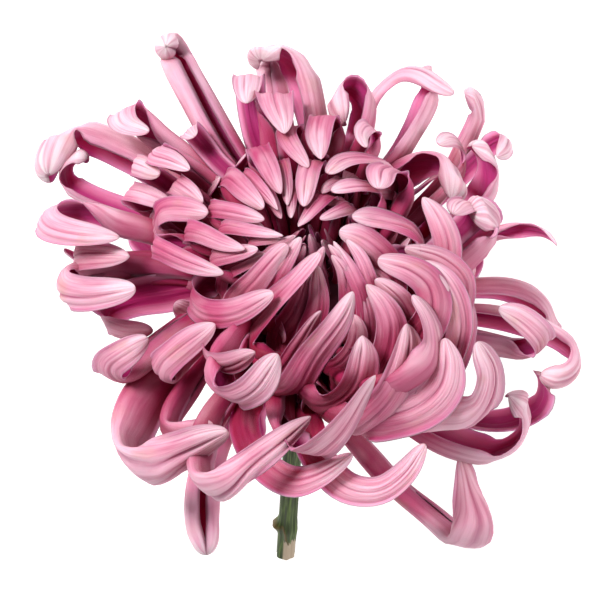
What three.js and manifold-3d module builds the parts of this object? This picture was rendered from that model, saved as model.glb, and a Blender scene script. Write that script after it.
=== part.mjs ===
// A cut chrysanthemum with hooked, strap-like petals. It lies on two lower petals and on the end of its short
// stem. Millimetres, +Z up, the table at z = 0, the stem towards -Y, the face of the bloom up and towards +Y.
import * as THREE from "three";
import { mergeVertices } from "three/addons/utils/BufferGeometryUtils.js";
import Module from "manifold-3d";

const wasm = await Module();
wasm.setup();

// ---- Driving dimensions --------------------------------------------------------------------------
const HEART = new THREE.Vector3(0, -7.5, 58.3); // centre of the knob that every petal grows from
const AXIS = new THREE.Vector3(0.045, 0.707, 0.706).normalize(); // from the stem out through the face
const CENTRE = new THREE.Vector3(-3.04, 0.7, 0); // moves the middle of the flower's outline to the origin

const CORE_BACK = -5; // the knob is flat here, measured along the axis, where it sits on the calyx
const CORE_FOOT = 10; // radius of that flat
const CORE_RADIUS = 17;
const CORE_TOP = 22;
const GAP = 0.3; // between two pieces that touch

const CALYX_RADIUS = 9;
const CALYX_DEPTH = 9;
const BRACTS = 8; // in each row
const BRACT_ROWS = [0.62, 1]; // how far up the cup the tips of each row reach
const BRACT_WIDTH = 5;
const BRACT_LIFT = 1.3; // how far the tips of the top row stand out past the cup

const STEM_RADIUS = 2.4;
const STEM_RIBS = 6;
const RIB_DEPTH = 0.06; // as a share of the radius
const STEM_LENGTH = 65.8;
const SCAR_RADIUS = 1.7; // a knob on the stem where a side bud was taken off
const SCAR_AT = 55; // how far down the stem it is

const THICK = 1.1; // a petal's thickness along its middle
const SLIM = 9.4; // a petal this wide or less is solid across
const ROOT_DEPTH = 8; // how far from the knob's centre a petal starts
const ROOT_CLEAR = 14; // a petal that leans back first runs straight out this far, past the calyx
const STATIONS = 60; // points that a petal's route is sampled at
const TIP_RING = 0.95; // where the last cross-section is, as a share of the length
const TURNED_DOWN = 0.6; // how much a hooked petal's inner face turns away from above

// ---- Petals --------------------------------------------------------------------------------------
// One row each: the width in mm from margin to margin, how far it folds across in degrees, and the points
// that its middle runs through, as x, y and the height above the knob along the axis. A fold of 90 is a
// shallow gutter, and past 180 the margins roll in and the petal is a quill. The inner face looks to where
// the petal hooks, and some way down. With a fourth value it doesn't look down, and is turned by that many
// degrees about the petal, towards the eye above.
const PETALS = [
  // upper left
  [7.3, 250, [
    [-13, 29, 22], [-17.8, 36.2, 23.5], [-23, 45, 26],
    [-29.4, 57.5, 29], [-32.4, 63.6, 32], [-34, 62.6, 36],
  ]],
  [5.4, 100, [
    [-15, 29, 24], [-20.5, 34.5, 26], [-24.8, 39.6, 28],
    [-27.2, 42.4, 31], [-27.8, 42, 34], [-26.2, 40.8, 36],
  ], 0],
  [8.6, 130, [
    [-22.5, 28.9, 17], [-28.5, 34.9, 19], [-36.1, 40.7, 21], [-42.6, 47.8, 23],
    [-44.6, 46.8, 27], [-43, 44.2, 30], [-37.4, 42.6, 31.5],
  ]],
  [12, 170, [
    [-37, 33.2, 10], [-45, 37.3, 11], [-52.8, 40.4, 12.5], [-58.2, 41.2, 13],
    [-60.6, 38, 12.5], [-62, 34.4, 12], [-62.4, 32.2, 12],
  ], -18],
  [7.6, 170, [
    [-37, 20.8, 4], [-43.6, 22.7, 4], [-51.8, 25.6, 4.5], [-57, 28.4, 6],
    [-59.2, 31.4, 8], [-58, 34.2, 11], [-55.4, 35.6, 12.5], [-52.6, 35.6, 13.5],
  ], 8],
  [6.5, 140, [
    [-18, 24.5, 25], [-24, 30.3, 27], [-30, 34.6, 29], [-35, 37.2, 31.5],
    [-36.2, 36, 35], [-32.4, 34.6, 37.5], [-27.8, 32, 38.5],
  ]],
  [5.8, 130, [
    [-28, 24.5, 20], [-33, 28.7, 22], [-38, 32.2, 24],
    [-41.3, 33.6, 27], [-39.6, 33.4, 31], [-34.6, 32.3, 33.5],
  ], 0],
  [6.5, 130, [
    [-30, 19.5, 14], [-37, 23, 16], [-42, 26.4, 19],
    [-42.6, 27.2, 23.5], [-38, 26.4, 27.5], [-30.8, 24.1, 30.5],
  ]],
  [6.5, 130, [[-22, 21.5, 24], [-27, 25.5, 26], [-31, 28.8, 29], [-29.6, 28, 33], [-24, 24.4, 36]]],
  [7.9, 140, [
    [-24, 10.5, 18], [-28.5, 13.6, 20], [-33.3, 17, 23], [-35.8, 20.6, 27.5],
    [-33, 22.7, 31.5], [-28, 22.9, 34.5], [-22.6, 22.4, 37],
  ]],
  // top
  [12.5, 170, [
    [3, 36, 20], [3.3, 42, 21.5], [2.2, 49, 23.5], [-0.5, 56.7, 26.5],
    [-4.7, 61.9, 30], [-8.2, 62.6, 31], [-10.2, 59.8, 31],
  ], -14],
  [7.6, 110, [
    [-7.5, 33, 22], [-10.5, 40, 24], [-12.2, 48, 26.5],
    [-12.6, 55.6, 29.5], [-12.9, 55.8, 33], [-12.8, 49.2, 36],
  ], 0],
  [8.2, 150, [[-4, 34, 14], [-6, 45, 16], [-7, 54, 18], [-8, 59.5, 21], [-9, 61, 24]]],
  [9.7, 120, [
    [-5, 33, 27], [-6.3, 42, 29], [-6.6, 50, 32],
    [-6.4, 51.8, 35.5], [-5.8, 47, 38.5], [-5, 41.4, 39.5],
  ]],
  [5.7, 140, [
    [2.2, 32, 30], [1.2, 39, 31], [-1.2, 43.4, 33],
    [-3.4, 41.8, 36], [-1.7, 37, 38], [1.2, 32.6, 39],
  ]],
  [7.7, 150, [[6, 31, 28], [8, 38, 29], [8.2, 43.5, 31], [6.2, 46, 34], [4.6, 42, 37], [5.2, 35, 39]]],
  [10, 170, [
    [11, 33, 23.5], [13.3, 38, 25], [15.2, 44.5, 27], [15.6, 49.8, 28.5], [13.6, 53.4, 30],
    [10.9, 53.4, 30.5], [9.6, 51, 30], [10.2, 47.5, 29], [11.2, 44, 28.5],
  ], 8],
  [5.7, 140, [[16, 33, 27], [18.3, 38, 28], [19, 42, 30], [17.3, 43.5, 33], [15.5, 41, 35], [16.8, 38, 35]]],
  [9.8, 170, [
    [17.1, 28.4, 17], [22.8, 34.8, 18.5], [27.6, 41.7, 20],
    [31.2, 48.9, 22], [32.4, 55, 26], [30.2, 57.8, 28.5],
  ], -8],
  [5.5, 170, [
    [15, 36.4, 14], [17.4, 45.6, 16.5], [19.4, 51, 18.5], [23.1, 54.9, 21],
    [26.9, 57.1, 23], [31.4, 56.3, 25], [35.4, 53.4, 27], [38.6, 51.6, 28],
  ], -8],
  [6.4, 140, [[-7, 27, 30], [-10.5, 34, 32], [-11, 38.2, 35], [-8, 34, 39], [-3.6, 26.8, 40]]],
  [4, 150, [[-3, 25, 30], [-5, 33, 34], [-4.8, 35, 36], [-3, 28, 38], [-2.7, 23.5, 38]]],
  [6.2, 140, [[-15, 24, 30], [-19.3, 29.3, 32], [-18, 30.6, 35], [-13, 26, 39], [-9.6, 22.2, 40]]],
  [4.4, 150, [[-10, 24, 31], [-14.8, 30.5, 34], [-13.5, 31, 37], [-9, 26, 40], [-6.2, 21.8, 40]]],
  [3.9, 150, [[-6, 22, 30], [-9.5, 29, 35], [-7, 25, 38], [-4.4, 20.3, 38]]],
  [6.6, 170, [[3, 25, 30], [4, 32, 33], [3.5, 35, 36], [1.7, 29.5, 39], [0.9, 23.2, 39]]],
  [3.5, 160, [[-1, 22, 30], [-1.8, 30, 34], [-1.7, 26, 37], [-1.5, 20.4, 37]]],
  [5.5, 140, [[8, 22, 30], [7.3, 26, 34], [4.5, 24, 37], [-0.5, 18.2, 37]]],
  [5.3, 140, [[14, 19, 30], [13.5, 22.5, 34], [9.5, 21.8, 37], [5, 20, 38]]],
  [7, 140, [[19, 22, 30], [19, 27, 34], [14, 28.4, 38], [8.2, 26.6, 39]]],
  [4.4, 150, [[13, 20, 28], [12, 24.3, 32], [7, 23.5, 35]]],
  [7.7, 130, [[21, 25, 26], [23.5, 32, 29], [18, 35, 34], [11, 34.8, 37], [6.5, 31.6, 38]]],
  [4.4, 150, [[13, 26, 28], [11.5, 30, 33], [8.5, 29, 36], [6.2, 26.3, 37]]],
  [8.4, 120, [[24, 22, 28], [26, 27.5, 31], [24.5, 32, 34], [20.5, 32.3, 38], [18.2, 27.8, 40]]],
  // upper right
  [11, 170, [
    [20, 28, 17.5], [26.6, 32.4, 19], [32.2, 34.3, 21],
    [36.6, 33, 22], [38, 30.6, 22.5], [36.8, 26.8, 22.5],
  ], -2],
  [6.7, 140, [[38.5, 30, 13], [41, 35, 15.5], [40.2, 38.6, 19], [37.6, 40.4, 22.5], [34.3, 39.4, 25]]],
  [9.2, 120, [
    [35.3, 28, 8], [40, 36, 9.5], [43.5, 43.5, 12],
    [44.9, 48.5, 15], [43.3, 52.4, 17], [41.1, 52.2, 19],
  ]],
  [10, 170, [
    [35.7, 15, 9.5], [42.7, 22.8, 11], [46.3, 28.8, 13.5],
    [47.3, 33.6, 17], [45.7, 37, 21], [43.3, 38.4, 23.5],
  ], 0],
  [6, 150, [
    [33, 25, 6], [39, 30.5, 7.5], [44.5, 35.5, 9.5], [49, 40, 12],
    [52, 40, 15.5], [51.6, 36.6, 19], [50, 35, 21],
  ], 0],
  [11, 130, [[22, 22, 10], [28, 26.5, 12], [35, 31.5, 15]]],
  [8, 110, [
    [33, 11, 19], [38, 16, 21], [42.5, 20.5, 24],
    [43, 23.4, 27.5], [40.5, 23.8, 30.5], [38, 21.2, 32],
  ], 0],
  [11, 170, [
    [33, 4, 16], [40.2, 9.6, 18], [47, 14.7, 21], [51, 18.2, 24],
    [49.8, 20.6, 26], [47, 21.4, 27.5], [42.9, 21, 28.5],
  ], 0],
  [5.3, 170, [[40, 12, 4], [50, 17, 5], [57.5, 17.8, 7], [61.5, 16.6, 9], [64.2, 13.8, 11]]],
  [9.2, 140, [[30, 2, 24], [35.4, 7.5, 27], [36.2, 13.5, 31], [33.6, 19.8, 35], [29.6, 25, 37]]],
  [11.3, 130, [[24, 4, 26], [29.5, 10.5, 30], [28.5, 16, 34.5], [21, 19.6, 39], [13, 20.2, 41]]],
  [7.6, 140, [[21, 0, 27], [22.5, 7.5, 32], [19, 12.5, 36.5], [14.5, 16, 39.5], [9.9, 17.4, 39.5]]],
  // right
  [7.8, 120, [[36, -8, 18], [40.2, -1, 22], [40.6, 4.6, 27], [35.5, 10.2, 33], [26.2, 13.6, 38]]],
  [10.2, 120, [[27, -11, 21], [33, -3, 27], [32.4, 4, 32], [27.4, 9, 37], [19.8, 11.7, 39]]],
  [9, 120, [[34, -17, 14], [39, -10, 19], [39, -2, 26], [35.5, 5, 32], [30.6, 9.6, 35]]],
  [7.5, 130, [[36, -18, 10], [40.5, -10, 14], [41, -2, 20], [38.5, 3.5, 25]]],
  [12, 120, [[17, -22, 15], [27, -19, 20], [32.5, -11, 26], [31.4, -4, 31], [27.8, 1.2, 34]]],
  [13.2, 120, [[16, -29, 8], [28, -28, 11], [36, -22, 17], [38.2, -15, 23], [37.8, -9.2, 27]]],
  [13.4, 120, [[20, -29, 4], [35, -29, 6], [45, -25.5, 10], [47, -18, 16], [44.2, -10, 23]]],
  [13.5, 170, [
    [20, -26.4, -6], [30, -31, -10], [41, -35.9, -11], [50.1, -37.2, -11],
    [55.1, -33.2, -7], [55.1, -27.2, -2], [51.5, -22.8, 3],
  ], -15],
  [10.5, 130, [
    [40, -29, -13], [50, -30.2, -14.5], [56, -28.6, -14],
    [60.4, -25.6, -11], [61.2, -21.8, -7.5], [59.4, -18.6, -3],
  ], 0],
  [7.8, 170, [
    [34, -3.5, 0], [46, -4, -1], [56.2, -6.2, -1], [64.6, -9.6, -1],
    [68.6, -13.6, -2], [67.6, -18.2, -3], [63.8, -20.2, -3], [59.6, -19.4, -1.5],
  ], -10],
  [8.6, 170, [
    [30, 1.4, -2], [42, 2.6, -4], [52, 2.2, -6],
    [58.6, -0.6, -8.5], [62.2, -5, -11], [62.6, -9.6, -13],
  ], -18],
  [8.1, 110, [
    [32, -8, 2], [44, -10, 1], [55, -12, 1], [60.6, -12, 4],
    [60, -9, 9], [55, -5.4, 13.5], [49, -3.4, 16],
  ]],
  // bottom
  [10.6, 170, [
    [9, -28, -14], [15.8, -37.2, -22], [24.5, -47.1, -28], [33.5, -54.5, -32], [40.7, -60.1, -33],
    [43, -59.5, -30], [43.1, -53.4, -25], [40.5, -46.4, -18], [37.8, -40, -12],
  ]],
  [9.2, 120, [[2, -33, 2], [6, -41, -3], [12, -46.8, -7], [20, -48, -7], [27, -43.8, -3], [32.4, -36.6, 3]]],
  [9.2, 120, [
    [-14, -28, 2], [-12.2, -36.6, -4], [-6.6, -42.7, -7.5], [-1.4, -45, -7],
    [4, -43.8, -3.5], [9, -41, 0], [13, -38, 4],
  ]],
  [12.1, 110, [[-4, -31, 6], [1, -37.5, 4], [7, -34.5, 11], [13, -28.5, 17], [19.8, -19.6, 23]]],
  [10.5, 110, [
    [-15, -20, 8], [-22, -30.6, 0], [-24.4, -41.2, -7], [-23.2, -46.4, -7],
    [-19.4, -46, -3], [-13, -40.6, 2.5], [-5.5, -34.6, 8], [2.4, -28.4, 13],
  ]],
  [13, 170, [
    [-24, -10, 2], [-32.6, -18.3, -4], [-39.8, -27.6, -9], [-43, -36.2, -12],
    [-41.3, -40.7, -11.5], [-36.9, -40.9, -7.5], [-27.2, -36.8, -1], [-17, -33.6, 5],
  ]],
  [8.5, 140, [
    [-18, -10, 0], [-27.6, -22, -5], [-32.4, -30.2, -7],
    [-32.4, -33.6, -6], [-27, -33, -2], [-21, -32, 2],
  ]],
  [8, 250, [[-19.1, -30, -18], [-23.5, -42, -26], [-24.8, -54, -33], [-24.1, -63.6, -37]]],
  [12.1, 120, [[-14, -8, 22], [-19.5, -16, 18], [-18, -23.5, 16], [-11.5, -22, 22], [-5, -13.6, 29]]],
  [8, 110, [
    [-12, 0, 20], [-18, -5.5, 18.5], [-22.4, -11.4, 17.5],
    [-21.4, -15, 19.5], [-17, -16, 23], [-10.4, -13.6, 28],
  ], 0],
  // left
  [8.9, 130, [
    [-20, -6, 12], [-28, -12, 9.5], [-33.6, -17.4, 9],
    [-34.6, -16.6, 13.5], [-29.4, -12, 19.5], [-21.2, -5.6, 26],
  ]],
  [9, 140, [
    [-22, -2.2, 8], [-33, -9.3, 4], [-41.8, -17.1, 1], [-47, -19, 2.5],
    [-47.5, -16.1, 7.5], [-44.4, -13.7, 12], [-37.6, -9.6, 15.5],
  ]],
  [10.5, 170, [
    [-24, 2.5, 8], [-34, 1.6, 6], [-43, 0, 5], [-49, -2.8, 4.5],
    [-49, -5.2, 4.5], [-44.2, -7, 5], [-37.2, -6.6, 7],
  ], 25],
  [9.7, 130, [
    [-28, 6, 10], [-42, 7, 9], [-52, 6.6, 9], [-57.2, 4.2, 11],
    [-57.6, 2.2, 15], [-52, 1.4, 19], [-40.8, 3, 24],
  ]],
  [7.9, 140, [
    [-34, 8.5, 10], [-45, 8.5, 10], [-54, 9, 11],
    [-56, 10.8, 15], [-50.5, 11.2, 19], [-42.4, 10.7, 22],
  ]],
  [6.1, 150, [[-34, 7, 4], [-46, 8.4, 3], [-54, 10, 4], [-59, 12.4, 7]]],
  [9.8, 170, [
    [-34, 15.5, 14], [-46, 19, 14], [-57.2, 22.2, 15], [-62.6, 21.6, 18],
    [-62.5, 18.4, 22], [-57, 16.2, 25], [-45, 14.9, 27],
  ]],
  [6.4, 140, [
    [-22, 11.5, 26], [-30, 13.6, 26], [-36, 13.6, 28],
    [-34.4, 12.4, 32], [-28, 9.6, 35], [-18.8, 7.2, 37],
  ]],
  [6, 140, [
    [-18, 12, 29], [-24.4, 14.6, 30], [-28.4, 17, 32],
    [-25.4, 16.8, 36], [-19.6, 14.8, 38.5], [-13.4, 13.2, 40],
  ]],
  [5.5, 140, [[-14, 4, 27], [-20, 8, 30], [-22, 9.8, 32], [-17, 11, 36], [-10.4, 12, 39]]],
  [5.5, 140, [[-14, 14, 30], [-19.6, 19, 32], [-23, 22.4, 34], [-16.5, 21.8, 38], [-8.8, 20, 40]]],
  [4.4, 150, [[-13, 10, 30], [-19, 15.5, 33], [-20, 17.8, 35], [-12, 17, 39], [-4.2, 15.6, 40]]],
  [3.9, 150, [[-16, 16, 31], [-14, 19.2, 35], [-9.6, 17.8, 38]]],
  [3.9, 160, [[-8, 8, 30], [-13, 13.5, 34], [-12, 14.5, 36], [-4.8, 14.6, 38]]],
  // over the heart
  [5.4, 140, [[-13, 0, 24], [-11, 6, 30], [-6, 12, 36], [-0.9, 15.8, 39]]],
  [7.8, 120, [[-14, -9, 18], [-16, -1.5, 24], [-10, 5, 32], [-2.2, 12.8, 40]]],
  [6.2, 130, [[-9, -6, 22], [-8, 1.5, 28], [-3.5, 8.5, 36], [1, 15, 40]]],
  [10.3, 110, [[-6, -14, 16], [-13, -9.5, 20], [-8, -2, 29], [-1, 6, 38], [3.7, 12, 41]]],
  [4.9, 140, [[1, -4, 26], [1.5, 4, 33], [5.3, 13.5, 40]]],
  [7, 130, [[-3, -16, 14], [-5.5, -10, 18], [0, -2, 28], [3.5, 7, 37]]],
  [7.3, 130, [[2, -16, 15], [2, -9, 21], [5, -0.5, 31], [5.1, 8.6, 38]]],
  [5.4, 140, [[11, -6, 22], [12, 0, 29], [10, 6.5, 36], [6.9, 10.4, 39]]],
  [4.6, 140, [[13, -8, 22], [13.5, 0, 30], [10.5, 8.5, 37], [6.4, 13.2, 40]]],
  [5.1, 140, [[15.5, -9, 22], [16, -1, 30], [13, 7.5, 37], [9.1, 15, 40]]],
  [5.1, 140, [[18, -6, 24], [18, 1, 31], [15, 9.5, 38], [10.9, 14.5, 39]]],
  [6.8, 140, [[15, -14, 18], [18, -8, 24], [17.5, -1, 30], [16, 4, 33]]],
  [9.5, 120, [[14, -22, 12], [21, -15, 20], [22.8, -6, 28], [20.5, 0, 33], [16.8, 4.2, 36]]],
  [7.8, 130, [[22, -13, 17], [27, -7, 23], [25.5, -0.5, 30], [22, 3.5, 34], [18.9, 5.6, 36]]],
  [5.4, 140, [[22, -4, 24], [20.5, 4, 32], [16, 8, 37]]],
  [13.5, 110, [[8, -28, 6], [17, -28.5, 11], [23.5, -21.5, 19], [25, -13.5, 26], [24.2, -6, 31]]],
  [12.2, 110, [[3, -23, 10], [9, -25, 13], [14.5, -20, 20], [16.8, -12, 27], [16.7, -8.8, 29]]],
  [6.2, 130, [[9, -17, 14], [13.5, -12, 20], [14.3, -7, 26], [12.9, -3.6, 29]]],
  [10.8, 120, [[-8, -18, 12], [-3, -22, 14], [3, -13.5, 24], [9.5, -4.5, 34], [12.9, 2.2, 39]]],
  [7.3, 130, [[-10, -15, 14], [-6, -18.5, 15], [0, -11.5, 24], [6.1, -2.9, 34]]],
  [8.6, 110, [[-18, 4, 22], [-25, 3, 21], [-27, 0.5, 22], [-23, -3, 25], [-16, -2.8, 29], [-6.6, 1.9, 37]]],
  [6.2, 140, [[-13, -3, 20], [-19, 1.5, 24], [-18, 6.5, 29], [-8.5, 10, 36]]],
  // over the stem
  [6, 160, [[-9, -24, -12], [-10.5, -29, -15], [-9, -34, -18]]],
  [5, 160, [[-4.5, -25, -10], [-2.5, -33, -13], [1, -38, -15]]],
  // under the bloom
  [10, 130, [[10, 2, -5], [19, 9, -11], [25, 15, -18], [27.5, 19, -23.5], [25, 24, -18.5]], 0],
  [10, 130, [[-9, 2, -5], [-18, 9, -12], [-24.5, 15, -20], [-27, 19, -25.5], [-24, 24, -20.5]], 0],
];

// Whorls that the table above leaves out, deep in the heart and under the bloom. Each has a count, the
// width, fold and length of a petal, its lean from the axis at the root, how far it curls back, where the
// curl starts, and the arc it fills, in degrees round the axis from +X with 90 at the table.
const WHORLS = [
  { count: 8, width: 4, fold: 190, length: 33, lean: 14, curl: 35, from: 0.3, arc: [0, 360] },
  { count: 5, width: 8, fold: 130, length: 54, lean: 66, curl: 120, from: 0.45, arc: [44, 136] },
  { count: 6, width: 8.5, fold: 130, length: 60, lean: 86, curl: 115, from: 0.5, arc: [34, 146] },
  { count: 7, width: 9.5, fold: 130, length: 62, lean: 103, curl: 110, from: 0.55, arc: [30, 150] },
  { count: 5, width: 10, fold: 130, length: 66, lean: 116, curl: 62, from: 0.6, arc: [52, 128] },
];
const SEED = 41;

// ---- The bloom's own frame -----------------------------------------------------------------------
const SIDE = new THREE.Vector3(1, 0, 0).addScaledVector(AXIS, -AXIS.x).normalize();
const DOWN = new THREE.Vector3().crossVectors(AXIS, SIDE); // across the face, towards the table
const UP = DOWN.clone().negate();
const AXIS_FRAME = new THREE.Matrix4().makeBasis(SIDE, AXIS, UP).setPosition(HEART); // turned shapes' +Y

// The point over x, y that lies a given height above the knob's centre along the axis.
function above([x, y, rise]) {
  const level = rise - AXIS.x * (x - HEART.x) - AXIS.y * (y - HEART.y);
  return new THREE.Vector3(x, y, HEART.z + level / AXIS.z);
}

// The point at a radius, an angle round the axis and a height along it.
function around(radius, angle, height) {
  return HEART.clone()
    .addScaledVector(AXIS, height)
    .addScaledVector(SIDE, radius * Math.cos(angle))
    .addScaledVector(DOWN, radius * Math.sin(angle));
}

// A repeatable draw between -1 and 1.
function drawer(seed) {
  let state = seed;
  return () => {
    state = (state * 16807) % 2147483647;
    return (state / 2147483647) * 2 - 1;
  };
}

const smooth = (x, from, to) => THREE.MathUtils.smoothstep(x, from, to);
const radians = THREE.MathUtils.degToRad;

// ---- One petal ------------------------------------------------------------------------------------
// Width along a petal as a share of its full width: a narrow claw, a long strap and a rounded tip.
function outline(s) {
  const claw = 0.3 + 0.7 * smooth(s, 0.05, 0.6);
  const tip = Math.sqrt(Math.max(0, 1 - Math.max(0, (s - 0.76) / 0.24) ** 2.4));
  return claw * tip;
}

// The route from inside the knob to the tip. A petal that leans back leaves the knob straight sideways.
function withRoot(marks) {
  const out = marks[0].clone().sub(HEART);
  const height = out.dot(AXIS);
  const leansBack = height < 0.12 * out.length();
  if (leansBack) out.addScaledVector(AXIS, -height).normalize().addScaledVector(AXIS, 0.05);
  const root = HEART.clone().addScaledVector(out.clone().normalize(), ROOT_DEPTH);
  if (!leansBack) return [root, ...marks];
  return [root, HEART.clone().addScaledVector(out.normalize(), ROOT_CLEAR), ...marks];
}

// Points, directions, bends and the normal to the inner face at even steps along a petal. The petal curls
// towards its inner face where it bends most, and the face turns no further than the route makes it. The face
// also looks down by a share of its inward look, and is turned about the petal by a facing in degrees.
function trace(route, { down = 0, facing = 0 }) {
  const curve = new THREE.CatmullRomCurve3(route);
  const points = curve.getSpacedPoints(STATIONS);
  const length = curve.getLength();
  const near = (list, i) => list[THREE.MathUtils.clamp(i, 0, STATIONS)];
  const tangents = points.map((_, i) => near(points, i + 1).clone().sub(near(points, i - 1)).normalize());
  const reach = (6 * length) / STATIONS;
  const turn = (i) => near(tangents, i + 3).clone().sub(near(tangents, i - 3));
  const bends = tangents.map((_, i) => turn(i).divideScalar(reach));
  let sharpest = Math.round(STATIONS * 0.4);
  for (let i = sharpest; i < STATIONS - 3; i += 1) {
    if (bends[i].length() > bends[sharpest].length()) sharpest = i;
  }
  const across = (v, t) => v.clone().addScaledVector(t, -v.dot(t)).normalize();
  const inward = bends[sharpest].clone().normalize();
  inward.z -= down;
  const normals = [];
  normals[sharpest] = across(inward, tangents[sharpest]);
  for (let i = sharpest + 1; i <= STATIONS; i += 1) normals[i] = across(normals[i - 1], tangents[i]);
  for (let i = sharpest - 1; i >= 0; i -= 1) normals[i] = across(normals[i + 1], tangents[i]);
  const side = Math.sign(normals[sharpest].clone().cross(tangents[sharpest]).z);
  normals.forEach((normal, i) => normal.applyAxisAngle(tangents[i], -side * radians(facing)));
  return { points, tangents, normals, bends, length };
}

// The stations that get a cross-section, closer together where the petal bends.
function ringStations({ bends, length }) {
  const step = length / STATIONS;
  const last = Math.round(STATIONS * TIP_RING);
  const turned = [0];
  for (let i = 1; i <= last; i += 1) turned.push(turned[i - 1] + bends[i].length() * step);
  const rings = THREE.MathUtils.clamp(Math.round(2.9 + turned[last] / 1.2), 4, 6);
  const sums = turned.map((turn, i) => i / last + turn / Math.max(turned[last], 0.6));
  const upTo = (k) => (sums[last] * k) / (rings - 1) - 1e-9;
  return Array.from({ length: rings }, (_, k) => sums.findIndex((sum) => sum >= upTo(k)));
}

// The corners of a cross-section as lateral and inward distances: left edge, inner middle, right edge and
// outer middle. A slim petal is solid across and has no inner middle.
function section(fullWidth, width, fold, bendRadius) {
  const half = radians(Math.min(fold, 180) / 2);
  const lateral = width / 2;
  const height = Math.min(lateral * Math.tan(half / 2), 0.6 * bendRadius);
  const front = fold < 180 ? THICK : Math.max(THICK, 1.8 * height);
  const lift = -height / 2;
  const edges = [[-lateral, height + lift], [lateral, height + lift], [0, lift]];
  if (fullWidth > SLIM) edges.splice(1, 0, [0, front + lift]);
  return edges;
}

// A petal or bract as a closed solid, with its two faces split into triangles alike.
function blade(width, fold, route, look = {}) {
  const path = trace(route, look);
  const rings = ringStations(path);
  const vertices = [];
  for (const i of rings) {
    const lateral = new THREE.Vector3().crossVectors(path.normals[i], path.tangents[i]);
    const bendRadius = 1 / Math.max(path.bends[i].length(), 1e-3);
    for (const [x, y] of section(width, width * outline(i / STATIONS), fold, bendRadius)) {
      vertices.push(path.points[i].clone().addScaledVector(lateral, x).addScaledVector(path.normals[i], y));
    }
  }
  const sides = vertices.length / rings.length;
  const tip = vertices.push(path.points[STATIONS]) - 1;
  const triangles = sides === 4 ? [[0, 1, 3], [1, 2, 3]] : [[0, 1, 2]];
  for (let ring = 0; ring < rings.length - 1; ring += 1) {
    for (let k = 0; k < sides; k += 1) {
      const a = ring * sides + k;
      const b = ring * sides + ((k + 1) % sides);
      if (k % 2 === sides % 2) triangles.push([a, a + sides, b + sides], [a, b + sides, b]);
      else triangles.push([a, a + sides, b], [b, a + sides, b + sides]);
    }
  }
  const last = (rings.length - 1) * sides;
  for (let k = 0; k < sides; k += 1) triangles.push([last + k, tip, last + ((k + 1) % sides)]);
  return solid(vertices.flatMap((v) => v.toArray()), triangles.flat());
}

// The points of one petal of a whorl: outwards at its lean, then curling back towards the axis.
function whorlMarks({ length, lean, curl, from }, angle, sway) {
  const parts = 12;
  const marks = [];
  let radius = 0;
  let height = 0;
  for (let k = 1; k <= parts; k += 1) {
    const s = k / parts;
    const heading = radians(lean - curl * smooth(s, from, 1.05));
    radius += (length / parts) * Math.sin(heading);
    height += (length / parts) * Math.cos(heading);
    if (k % 2 === 0 && k > 2) marks.push(around(radius, angle + sway * s * s, height));
  }
  return marks;
}

function whorlPetals(whorl, draw) {
  const [start, end] = whorl.arc.map(radians);
  const closed = end - start > 2 * Math.PI - 1e-6;
  const step = (end - start) / (closed ? whorl.count : whorl.count - 1);
  return Array.from({ length: whorl.count }, (_, k) => {
    const angle = start + step * (k + 0.25 * draw());
    const one = {
      length: whorl.length * (1 + 0.07 * draw()),
      lean: whorl.lean + 4 * draw(),
      curl: whorl.curl * (1 + 0.2 * draw()),
      from: whorl.from,
    };
    const route = withRoot(whorlMarks(one, angle, 0.25 * draw()));
    return blade(whorl.width * (1 + 0.12 * draw()), whorl.fold, route);
  });
}

// ---- Solids ---------------------------------------------------------------------------------------
function solid(positions, triangles) {
  const vertProperties = new Float32Array(positions);
  const triVerts = new Uint32Array(triangles);
  return new wasm.Manifold(new wasm.Mesh({ numProp: 3, vertProperties, triVerts }));
}

function fromGeometry(geometry) {
  const bare = geometry.clone();
  bare.deleteAttribute("normal");
  bare.deleteAttribute("uv");
  const merged = mergeVertices(bare, 1e-3);
  return solid(merged.attributes.position.array, merged.index.array);
}

function toGeometry(manifold) {
  const { vertProperties, triVerts, numProp } = manifold.getMesh();
  if (numProp !== 3) throw new Error("a solid carries more than positions");
  return new THREE.BufferGeometry()
    .setAttribute("position", new THREE.BufferAttribute(vertProperties, 3))
    .setIndex(new THREE.BufferAttribute(triVerts, 1));
}

// The largest body of a solid, without loose scraps or sealed hollows.
function mainBody(manifold) {
  return manifold.decompose().sort((a, b) => b.volume() - a.volume())[0];
}

// A solid turned about the bloom's axis, from its profile of [radius, height].
function turned(profile, sides) {
  const geometry = new THREE.LatheGeometry(profile.map(([r, h]) => new THREE.Vector2(r, h)), sides);
  return geometry.applyMatrix4(AXIS_FRAME);
}

// The packed bases of the petals: flat behind, widest a third of the way up and rounded over the top.
function core() {
  const waist = CORE_BACK + (CORE_TOP - CORE_BACK) / 3;
  const profile = [[0, CORE_BACK], [CORE_FOOT, CORE_BACK]];
  const steps = 6;
  for (let k = 0; k < steps; k += 1) {
    const angle = (Math.PI / 2) * (k / steps);
    profile.push([CORE_RADIUS * Math.cos(angle), waist + (CORE_TOP - waist) * Math.sin(angle)]);
  }
  profile.push([0, CORE_TOP]);
  return fromGeometry(turned(profile, 16));
}

// Everything below the table, which flattens what touches it.
function belowTable() {
  return fromGeometry(new THREE.BoxGeometry(400, 400, 40).translate(0, 0, -20));
}

function bloom() {
  const draw = drawer(SEED);
  const traced = PETALS.map(([width, fold, marks, facing]) => {
    const look = facing === undefined ? { down: TURNED_DOWN } : { facing };
    return blade(width, fold, withRoot(marks.map(above)), look);
  });
  const ruled = WHORLS.flatMap((whorl) => whorlPetals(whorl, draw));
  return mainBody(wasm.Manifold.union([core(), ...traced, ...ruled]).subtract(belowTable()));
}

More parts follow.
